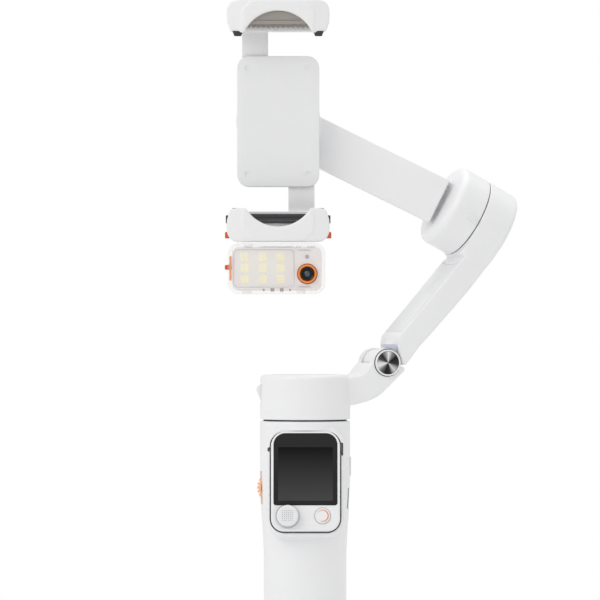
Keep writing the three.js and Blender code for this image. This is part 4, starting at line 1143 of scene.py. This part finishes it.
def makeJawTips():
    # The rubber ends under each lip, and the ends of the lower pad.
    for body, sign, name in (("upper_jaw", 1, "upperTips"), ("lower_jaw", -1, "lowerTips")):
        place = clampFrame @ Matrix.Scale(sign, 4, (0, 0, 1))
        tips = []
        for x in (-16.6, 16.6):
            outline = [(x - 1.4, jaw["lipReach"] - 1.6), (x + 1.4, jaw["lipReach"] - 1.6),
                       (x + 2.2, jaw["lipReach"] + 0.5), (x - 2.2, jaw["lipReach"] + 0.5)]
            if sign > 0:
                tips.append(edged(plateShape(outline, -10.3, -8.2, place), 0.2, 3))
            else:
                outline = [(x - 2.2, jaw["lipReach"] - 0.3), (x + 2.2, jaw["lipReach"] - 0.3),
                           (x + 2.2, jaw["lipReach"] + 2.5), (x - 2.2, jaw["lipReach"] + 2.5)]
                tips.append(edged(plateShape(outline, -8.3, -7.75, place), 0.15, 3))
        finishPiece(together(tips, name), name, "darkRubber", body, ())
    for side in (-1, 1):
        x0, x1 = sorted((side * 18.2, side * 21.55))
        edge = boxShape((rollX + x0, -7.3, rollZ - 42.3), (rollX + x1, 0.3, rollZ - 38.9))
        finishPiece(edged(edge, 0.4, 3), "padEdge" + ("Left" if side < 0 else "Right"), "darkRubber",
                    "lower_jaw", ())


makeJawTips()


def makeLiners():
    # The stepped rubber face seen through each arch.
    for body, sign, finish, slotName in (("upper_jaw", 1, "warmRubber", "warm_rubber"),
                                         ("lower_jaw", -1, "darkRubber", "dark_rubber")):
        place = clampFrame @ Matrix.Scale(sign, 4, (0, 0, 1))
        steps = [(39.5, 41.1, -9.75),
                 (41.25, 44.9, -9.5)] if sign > 0 else [(38.4, 39.7, -9.75), (39.85, 41.0, -9.6),
                                                        (41.15, 42.3, -9.45)]
        parts = []
        for low, high, y in steps:
            half = 13.4 if high < 41 else 11.6
            parts.append(edged(plateShape(roundedOutline(-half, half, low, high, 0.3), y, -9.0, place), 0.12,
                               2))
        finishPiece(together(parts, "liner"), "upperLiner" if sign > 0 else "lowerLiner", finish, body, ())


makeLiners()


def makeCrossPin():
    x, y, z = rollX, pinY, pinZ
    rod = barShape(1.2, (x - jaw["half"] - 0.3, y, z), (x + jaw["half"] + 0.3, y, z), 40)
    tabs = [rod]
    for side in (-1, 1):
        x0, x1 = sorted((x + side * (jaw["half"] - 1.2), x + side * (jaw["half"] + 0.62)))
        tab = plateShape(roundedOutline(-1.3, 1.3, z - 1.35, z + 1.35, 0.8), x0, x1,
                         Matrix(((0, 1, 0, 0), (1, 0, 0, y), (0, 0, 1, 0), (0, 0, 0, 1))))
        tabs.append(edged(tab, 0.3, 3))
    finishPiece(together(tabs, "pin"), "jawCrossPin", "redOrange", "lower_jaw", ("jaw_cross_pin",))


makeCrossPin()
print("stage: pads, tips and pins")


# ---- Light and tracking-camera module ----
module = {
    "centre": (-11.7, 212.45),
    "half": (20.1, 10.65),
    "front": -12.5,
    "back": -0.5,
    "corner": 4.6,
    "panel": (-29.2, -4.5),
    "panelHalf": 7.6,
    "ledColumns": (-24.8, -17.4, -10.1),
    "ledRows": (217.2, 212.6, 208.1),
    "dotPitch": 0.8,
    "dotSize": 0.62,
    "cameraX": 0.9,
    "cameraZ": 210.25,
    "knobZ": 212.95,
    "ringRadius": 3.9,
    "lensRadius": 2.8,
}
moduleX, moduleZ = module["centre"]


def moduleBlock(shrink, corner, y0, y1):
    w, h = module["half"]
    return plateShape(roundedOutline(moduleX - w + shrink, moduleX + w - shrink, moduleZ - h + shrink,
                                     moduleZ + h - shrink, corner, 10), y0, y1)


def moduleHoles():
    # The openings for the camera and for the release knob.
    cx, cz, front = module["cameraX"], module["cameraZ"], module["front"]
    eye = barShape(4.2, (cx, front - 5, cz), (cx, front + 5, cz), 64)
    knobLine = [(moduleX + x, -6, module["knobZ"]) for x in (-26, -16.9)]
    return [eye, barShape(1.35, *knobLine, 32)]


def makeModule():
    front, back = module["front"], module["back"]
    cx, cz = module["cameraX"], module["cameraZ"]
    case = edged(moduleBlock(0, module["corner"], front, back), 1.1, 5)
    notches = [boxShape((x - 2.1, front - 1, moduleZ + side * 10.65 - 0.9),
                        (x + 2.1, front + 2.6, moduleZ + side * 10.65 + 0.9))
               for side, places in ((1, (-23.5,)), (-1, (-24.0, -1.8))) for x in places]
    hollow = moduleBlock(1.2, module["corner"] - 1.0, front + 1.2, back + 5)
    boolean(case, [hollow, *moduleHoles(), *notches])
    finishPiece(case, "moduleCase", "clear", "light_module", ("module_case",))
    body = moduleBlock(1.7, module["corner"] - 1.6, front + 1.5, back - 1.4)
    edged(body, 0.5, 4)
    low, high = module["panel"]
    reach = module["panelHalf"]
    seat = plateShape(roundedOutline(low - 0.3, high + 0.1, moduleZ - reach - 0.3, moduleZ + reach + 0.3,
                                     1.8),
                      front - 2, front + 2.3)
    groove = boxShape((high + 0.15, front, moduleZ - 8.9), (high + 0.32, front + 1.72, moduleZ + 8.9))
    sensor = barShape(0.95, (cx - 0.1, front, 217.3), (cx - 0.1, front + 1.8, 217.3), 40)
    boolean(body, [seat, groove, *moduleHoles(), sensor])
    finishPiece(body, "moduleBody", "moduleWhite", "light_module", ("module_body",))
    panel = plateShape(roundedOutline(low, high - 0.2, moduleZ - reach, moduleZ + reach, 1.6), front + 2.0,
                       front + 2.25)
    finishPiece(edged(panel, 0.08, 2), "lightPanel", "ledPanel", "light_module", ("led_board",))
    squares = []
    for x in module["ledColumns"]:
        for z in module["ledRows"]:
            square = plateShape(roundedOutline(x - 1.75, x + 1.75, z - 1.75, z + 1.75, 0.9), front + 1.87,
                                front + 2.03)
            squares.append(edged(square, 0.07, 2))
            spot = Matrix.Translation((x, front + 1.87, z)) @ facing
            dots = repeated(gridTree, spot, "ledDot", **{
                "Count across": 4, "Count up": 4, "Spacing across": module["dotPitch"],
                "Spacing up": module["dotPitch"],
                "Item width": module["dotSize"], "Item depth": module["dotSize"], "Item height": 0.24})
            squares.append(edged(dots, 0.08, 2))
    finishPiece(together(squares, "squares"), "lightSquares", "ledDot", "light_module", ())
    stripe = plateShape(roundedOutline(-31.1, -30.2, 207.4, 217.6, 0.4), front + 1.25, front + 1.46)
    finishPiece(stripe, "orangeStripe", "orange", "light_module", ())
    contacts = [edged(boxShape((x - 0.75, front + 1.25, 202.95), (x + 0.75, front + 1.47, 204.35)), 0.1, 2)
                for x in (-13.4, -9.6)]
    contacts += [edged(boxShape((x - 0.35, front + 1.25, 203.1), (x + 0.35, front + 1.47, 204.1)), 0.1, 2)
                 for x in (-17.0, -6.2)]
    finishPiece(together(contacts, "contacts"), "chargeContacts", "contact", "light_module", ())
    bars = [edged(boxShape((x0, front + 1.25, z - 0.13), (x1, front + 1.42, z + 0.13)), 0.06, 2)
            for x0, x1, z in ((-18.5, -4.9, 221.35), (-3.0, 2.2, 220.0), (-3.0, 2.2, 204.9))]
    for x in (-3.4, -2.2, 1.4, 2.4, 3.4):
        bars.append(edged(boxShape((x - 0.28, front + 1.25, 221.1), (x + 0.28, front + 1.42, 221.6)), 0.06,
                          2))
    finishPiece(together(bars, "bars"), "greyPrint", "greyMark", "light_module", ())
    clips = []
    for x, z in ((-23.5, 222.1), (-24.0, 202.8), (-1.8, 202.8)):
        clips.append(edged(boxShape((x - 1.8, front + 0.5, z - 0.75), (x + 1.8, front + 2.3, z + 0.75)), 0.3,
                           3))
    finishPiece(together(clips, "clips"), "caseClips", "moduleWhite", "light_module", ())
    plateBack = moduleBlock(1.6, 3, back - 1.1, back)
    finishPiece(edged(plateBack, 0.2, 2), "magnetPlate", "steel", "light_module", ("magnet_plate",))
    spot = Matrix.Translation((cx, front, cz)) @ facing
    r, lens = module["ringRadius"], module["lensRadius"]
    ring = latheShape([(lens + 0.1, -4.6), (r, -4.6), (r, 0.1), (r - 0.35, 0.45), (r - 0.7, 0.5),
                       (lens + 0.25, 0.1), (lens + 0.1, -0.2)], 96, spot)
    finishPiece(ring, "cameraRing", "orange", "light_module", ("camera_ring",))
    barrel = latheShape([(0, -2.7), (lens, -2.7), (lens, -0.1), (lens - 0.25, 0.15), (lens - 0.5, 0.0),
                         (2.0, -0.8),
                         (1.75, -0.8), (1.6, -1.2), (1.35, -1.3), (0, -1.3)], 96, spot)
    finishPiece(barrel, "cameraBarrel", "lensBlack", "light_module", ("camera_lens",))
    glass = latheShape([(0, -1.28), (1.32, -1.28), (1.3, -1.05), (0.9, -0.82), (0.45, -0.72), (0, -0.7)], 64,
                       spot)
    finishPiece(glass, "cameraGlass", "lensGlass", "light_module", ())
    spot = Matrix.Translation((cx - 0.1, front + 1.75, 217.3)) @ facing
    dot = latheShape([(0, 0.0), (0.85, 0.0), (0.85, 0.12), (0.55, 0.2), (0.5, 0.12), (0, 0.12)], 48, spot)
    finishPiece(dot, "lightSensor", "greyMark", "light_module", ())
    spot = Matrix.Translation((moduleX, -6, module["knobZ"])) @ Matrix.Rotation(-math.pi / 2, 4, "Y")
    knob = latheShape([(0, 17.6), (1.05, 17.6), (1.05, 21.0), (0.8, 21.35), (0, 21.4)], 40, spot)
    finishPiece(knob, "releaseKnob", "redOrange", "module_button", ("module_button",))


finishes["lensGlass"] = makeFinish("coatedLens", (0.02, 0.03, 0.07), 0.04, 700, 0.0, 0.0,
                                   fixed={"Coat Weight": 0.6, "Coat Roughness": 0.03,
                                          "Specular IOR Level": 0.9})
makeModule()
print("stage: light module")


# ---- Remote control ----
screen = {
    "half": 13.0,
    "top": 19.8,
    "low": -9.7,
    "topCorner": 4.7,
    "lowCorner": 1.0,
    "displayHalf": 11.2,
    "displayTop": 14.1,
    "displayLow": -7.9,
}
stick = {"place": (-7.3, -14.3), "radius": 4.4, "dotPitch": 0.82, "dotSize": 0.42}
record = {"place": (6.95, -14.1), "radius": 3.2, "arcRadius": 2.3, "arcWidth": 0.5}


def onRemote(x, z, y=0.0):
    # A place on the remote's face, with out towards the user.
    return remoteFrame @ Matrix.Translation((x, remoteFront + y, z)) @ facing


def fadeAlong(surface, axis, start, end, first, last):
    # The colour goes evenly from first to last between two places on an axis.
    nodes, links = surface.node_tree.nodes, surface.node_tree.links
    split = nodes.new("ShaderNodeSeparateXYZ")
    fade = nodes.new("ShaderNodeMapRange")
    fade.inputs["From Min"].default_value = start
    fade.inputs["From Max"].default_value = end
    tint = nodes.new("ShaderNodeMix")
    tint.data_type = "RGBA"
    tint.inputs["A"].default_value = (*first, 1)
    tint.inputs["B"].default_value = (*last, 1)
    links.new(nodes.new("ShaderNodeTexCoord").outputs["Object"], split.inputs[0])
    links.new(split.outputs[axis], fade.inputs["Value"])
    links.new(fade.outputs["Result"], tint.inputs["Factor"])
    links.new(tint.outputs["Result"], nodes["Principled BSDF"].inputs["Base Color"])
    return surface


# The display is a little lighter towards its lower edge, and the record light pales on its left side.
displayGlass = makeFinish("displayGlass", (0.02, 0.02, 0.02), 0.1, 800, 0.0, 0.0,
                          fixed={"Specular IOR Level": 0.1})
displayLow, displayTop = ((remote["centre"][2] + screen[end]) * mm for end in ("displayLow", "displayTop"))
finishes["display"] = fadeAlong(displayGlass, "Z", displayLow, displayTop, [0.062] * 3, [0.005] * 3)
recordLight = makeFinish("recordLight", (0.9, 0.4, 0.15), 0.35, 2400, 0.0, 0.0)
lightMiddle = (remote["centre"][0] + record["place"][0]) * mm
finishes["recordLight"] = fadeAlong(recordLight, "X", lightMiddle - 0.0022, lightMiddle + 0.0010,
                                    (0.86, 0.66, 0.54), (0.87, 0.30, 0.08))


def makeRemote():
    front = remoteFront
    outline = roundedOutline(-14.1, 14.1, -20.3, 20.75, (5.2, 6.1, 6.1, 5.2), 10)
    shell = plateShape(outline, front, -front, remoteFrame)
    edged(shell, 0.75, 5)
    s = screen
    glassOutline = roundedOutline(-s["half"], s["half"], s["low"], s["top"],
                                  (s["lowCorner"], s["topCorner"], s["topCorner"], s["lowCorner"]), 10)
    seatOutline = roundedOutline(-s["half"] - 0.12, s["half"] + 0.12, s["low"] - 0.12, s["top"] + 0.12,
                                 (s["lowCorner"] + 0.1, s["topCorner"] + 0.1, s["topCorner"] + 0.1,
                                  s["lowCorner"] + 0.1), 10)
    seat = plateShape(seatOutline, front - 3, front + remote["glassThick"], remoteFrame)
    inner = roundedOutline(-12.6, 12.6, -18.8, 19.05, 4.2, 8)
    cavity = plateShape(inner, front + 1.7, -front + 5, remoteFrame)
    backOutline = roundedOutline(-13.3, 13.3, -19.5, 19.75, 4.7, 8)
    backSeat = plateShape(backOutline, -front - 1.3, -front + 5, remoteFrame)
    holes = [latheShape([(0, -6), (radius, -6), (radius, 3), (0, 3)], 72, onRemote(*place))
             for place, radius in ((stick["place"], 3.8), (record["place"], record["radius"] + 0.22))]
    dish = latheShape([(0, 5), (5.4, 5), (5.0, 0.01), (4.6, -0.3), (3.5, -0.45), (0, -0.45)], 72,
                      onRemote(*stick["place"]))
    boolean(shell, [seat, cavity, backSeat, *holes, dish])
    finishPiece(shell, "remoteShell", "shell", "remote", ("remote_shell",))
    back = plateShape(roundedOutline(-13.0, 13.0, -19.2, 19.45, 4.4, 8), -front - 1, -front, remoteFrame)
    screws = [latheShape([(0, -3), (1.1, -3), (1.1, 3), (0, 3)], 32,
                         remoteFrame @ Matrix.Translation((x, -front + 2.5, z)) @ facing)
              for x in (-10.5, 10.5) for z in (-16.5, 16.5)]
    boolean(edged(back, 0.25, 3), screws)
    finishPiece(back, "remoteBack", "satin", "remote", ("remote_back",))
    glass = plateShape(glassOutline, front - 0.08, front + remote["glassThick"] - 0.3, remoteFrame)
    finishPiece(edged(glass, 0.18, 3), "screenGlass", "blackGlass", "remote", ("screen_glass",))
    displayOutline = roundedOutline(-s["displayHalf"], s["displayHalf"], s["displayLow"], s["displayTop"],
                                    0.25, 3)
    display = plateShape(displayOutline, front - 0.1, front - 0.05, remoteFrame)
    finishPiece(display, "displayArea", "display", "remote", ())
    x, z = stick["place"]
    cap = latheShape([(0, 0.85), (3.0, 0.85), (stick["radius"] - 0.3, 1.25), (stick["radius"], 1.8),
                      (stick["radius"], 2.95), *arcPoints(stick["radius"] - 0.75, 2.95, 0.75, 0, 90, 6),
                      (2.6, 3.66), (0, 3.6)], 96, onRemote(x, z))
    neck = latheShape([(0, -3.2), (1.4, -3.2), (1.4, 1.0), (0, 1.0)], 40, onRemote(x, z))
    dots = repeated(gridTree, onRemote(x, z, -3.6), "satin", **{
        "Count across": 6, "Count up": 6, "Spacing across": stick["dotPitch"],
        "Spacing up": stick["dotPitch"],
        "Item width": stick["dotSize"], "Round items": True})
    finishPiece(cap, "joystickCap", "satin", "joystick", ("joystick_cap",))
    finishPiece(dots, "joystickDots", "stickSideShadeAndDotGrey", "joystick", ())
    # The grey of the cap's side wall is painted shade on the side that gets less light; the dots share the
    # grey.
    skirt = latheShape([(0, 0.8), (3.1, 0.8), (4.25, 1.35), (4.36, 1.8), (4.44, 1.75), (4.44, 2.75),
                        (4.3, 2.75), (4.3, 2.3), (0, 2.3)], 96, onRemote(x, z))
    finishPiece(together([skirt, neck], "skirt"), "joystickSkirt", "stickSideShadeAndDotGrey", "joystick", ())
    x, z = record["place"]
    r = record["radius"]
    button = latheShape([(0, -2.6), (r, -2.6), (r, 0.45), (r - 0.25, 0.68), (r - 0.5, 0.7), (2.75, 0.6),
                         (0, 0.6)], 96, onRemote(x, z))
    finishPiece(button, "recordButton", "shell", "record_button", ("record_button",))
    ring = latheShape([(r + 0.02, -0.9), (r + 0.2, -0.9), (r + 0.2, -0.15), (r + 0.02, -0.15)], 96,
                      onRemote(x, z))
    finishPiece(ring, "recordGap", "greyMark", "remote", ())
    start, end = -110, 150
    steps = 60
    outer, inside = [], []
    for i in range(steps + 1):
        t = i / steps
        angle = math.radians(start + (end - start) * t)
        width = record["arcWidth"] * (1 - 0.6 * abs(2 * t - 0.75) ** 1.5)
        outer.append(((record["arcRadius"] + width / 2) * math.cos(angle),
                      (record["arcRadius"] + width / 2) * math.sin(angle)))
        inside.append(((record["arcRadius"] - width / 2) * math.cos(angle),
                       (record["arcRadius"] - width / 2) * math.sin(angle)))
    spot = remoteFrame @ Matrix.Translation((x, remoteFront, z))
    arc = plateShape(outer + inside[::-1], -0.68, -0.5, spot)
    finishPiece(arc, "recordLight", "recordLight", "record_button", ())


makeRemote()
print("stage: remote control")


# ---- Zoom wheel, buttons, trigger, tab and flap ----
trigger = {"halfWidth": 5, "pivot": (20.0, 138.5)}


def makeWheel():
    w = wheel
    spot = Matrix.Translation((w["x"], w["y"], w["z"])) @ facing
    half = w["width"] / 2
    r = w["radius"] - w["toothDepth"]
    hub = latheShape([(1.6, -half), (r - 2.6, -half), (r - 2.2, -half + 0.5), (r - 1.2, -half + 0.5),
                      (r - 0.9, -half),
                      (r - 0.3, -half), (r, -half + 0.3), (r, half - 0.3), (r - 0.3, half), (r - 0.9, half),
                      (r - 1.2, half - 0.5), (r - 2.2, half - 0.5), (r - 2.6, half), (1.6, half)], 144, spot)
    teeth = repeated(ringTree, spot, "paleOrange", **{
        "Count across": w["teeth"], "Ring radius": r + w["toothDepth"] / 2 - 0.15,
        "Item width": w["toothDepth"] + 0.3, "Item depth": 0.95, "Item height": w["width"] - 0.5})
    edged(teeth, 0.2, 2)
    finishPiece(together([hub, teeth], "wheel"), "zoomWheel", "paleOrange", "zoom_wheel", ("zoom_wheel",))
    axle = latheShape([(0, -3.4), (1.0, -3.4), (1.2, -3.2), (1.2, 3.2), (1.0, 3.4), (0, 3.4)], 40, spot)
    finishPiece(axle, "wheelAxle", "steel", "handle", ("wheel_axle",))


makeWheel()


def makeSideControls():
    button = plateShape(roundedOutline(-3, 3, 127, 134.8, 1.2), -19.0, -15.6, sideways)
    edged(button, 0.35, 4)
    grooves = [boxShape((18.72, -1.9, z - 0.2), (20, 1.9, z + 0.2)) for z in (129.0, 130.3, 131.6, 132.9)]
    boolean(button, grooves)
    finishPiece(button, "powerButton", "shell", "power_button", ("power_button",))
    flap = plateShape(roundedOutline(-2.1, 2.1, 113.7, 122.0, 1.0), -17.5, -15.9, sideways)
    boolean(edged(flap, 0.3, 3), [boxShape((17.25, -1.2, 120.4), (18.5, 1.2, 120.8))])
    finishPiece(flap, "portFlap", "satin", "handle", ("port_flap",))
    # A near-black outline round the flap: painted shadow in the gap.
    slit = plateShape(roundedOutline(-2.32, 2.32, 113.5, 122.2, 1.15), -16.9, -16.4, sideways)
    boolean(slit, [plateShape(roundedOutline(-2.12, 2.12, 113.68, 122.02, 1.0), -18, -15, sideways)])
    finishPiece(slit, "portFlapGapShadow", "seam", "handle", ())
    # A thin dark band on the handle's side beside the flap: painted shade of a slit, with no cut under it.
    bottom, top = handle["slitHeight"]
    edge = [(r + 0.04, z) for r, z in handleOutline() if bottom < z < top]
    slot = latheShape([(12, bottom), (edge[0][0] - 0.05, bottom), *edge, (edge[-1][0] + 0.05, top),
                       (12, top)], 256)
    boolean(slot, [boxShape((0, -5.6, bottom - 5), (30, -4.6, top + 5))], "INTERSECT")
    finishPiece(slot, "portSlit", "paintedSlotShade", "handle", ())
    y, z = trigger["pivot"]
    side = [(y - 0.9, z + 1.6), (y + 1.4, z + 1.6), (y + 2.5, z - 3), (y + 3.0, z - 8), (y + 2.7, z - 13),
            (y + 3.2, z - 17.5),
            (y + 5, z - 21), (y + 3.2, z - 21.5), (y + 1.5, z - 17.5), (y + 0.9, z - 12), (y + 0.9, z - 7),
            (y - 0.9, z - 2)]
    lever = plateShape(roundedLine(side, 1.2, 4), -trigger["halfWidth"], trigger["halfWidth"], swapAcross)
    edged(lever, 0.55, 4, 50)
    boolean(lever, [barShape(1.3, (-20, y, z), (20, y, z), 40)])
    finishPiece(lever, "triggerLever", "satin", "trigger", ("trigger",))
    pin = barShape(1.0, (-7.4, y, z), (7.4, y, z), 40)
    finishPiece(edged(pin, 0.15, 2), "triggerPin", "steel", "handle", ("trigger_pin",))
    low, high = nodeBox("lock_tab")
    profile = [(-16.4, low.z), (-17.8, low.z), (-18.3, low.z + 0.6), (-19.9, high.z - 1.7),
               (-19.8, high.z - 0.8),
               (-18.6, high.z), (-16.4, high.z)]
    tab = plateShape(roundedLine(profile, 0.5, 3), low.y, high.y)
    edged(tab, 0.3, 3, 50)
    ribs = repeated(gridTree,
                    Matrix.Translation((-18.95, (low.y + high.y) / 2, (low.z + high.z) / 2 - 0.5))
                    @ Matrix.Rotation(math.radians(-22), 4, "Y"),
                    "satin", **{"Count across": 1, "Count up": 5, "Spacing up": 1.3, "Item width": 0.8,
                                "Item depth": 0.6, "Item height": 4.6})
    edged(ribs, 0.15, 2)
    finishPiece(together([tab, ribs], "tab"), "lockTab", "satin", "lock_tab", ("lock_tab",))


makeSideControls()
print("stage: wheel, buttons and tab")


# ---- Pieces inside, which keep their own shape ----
insideFinishes = {
    "battery_pack": "battery",
    "main_board": "board",
    "charging_socket": "steel",
    "joystick_yoke": "darkRubber",
    "pan_stator": "copper",
    "tilt_stator": "copper",
    "roll_stator": "copper",
    "pan_rotor": "steel",
    "tilt_rotor": "steel",
    "roll_rotor": "steel",
}
for node, finish in insideFinishes.items():
    carried = frame["nodes"][node].data
    carried.materials.clear()
    carried.materials.append(finishes[finish])
print("stage: inside pieces")
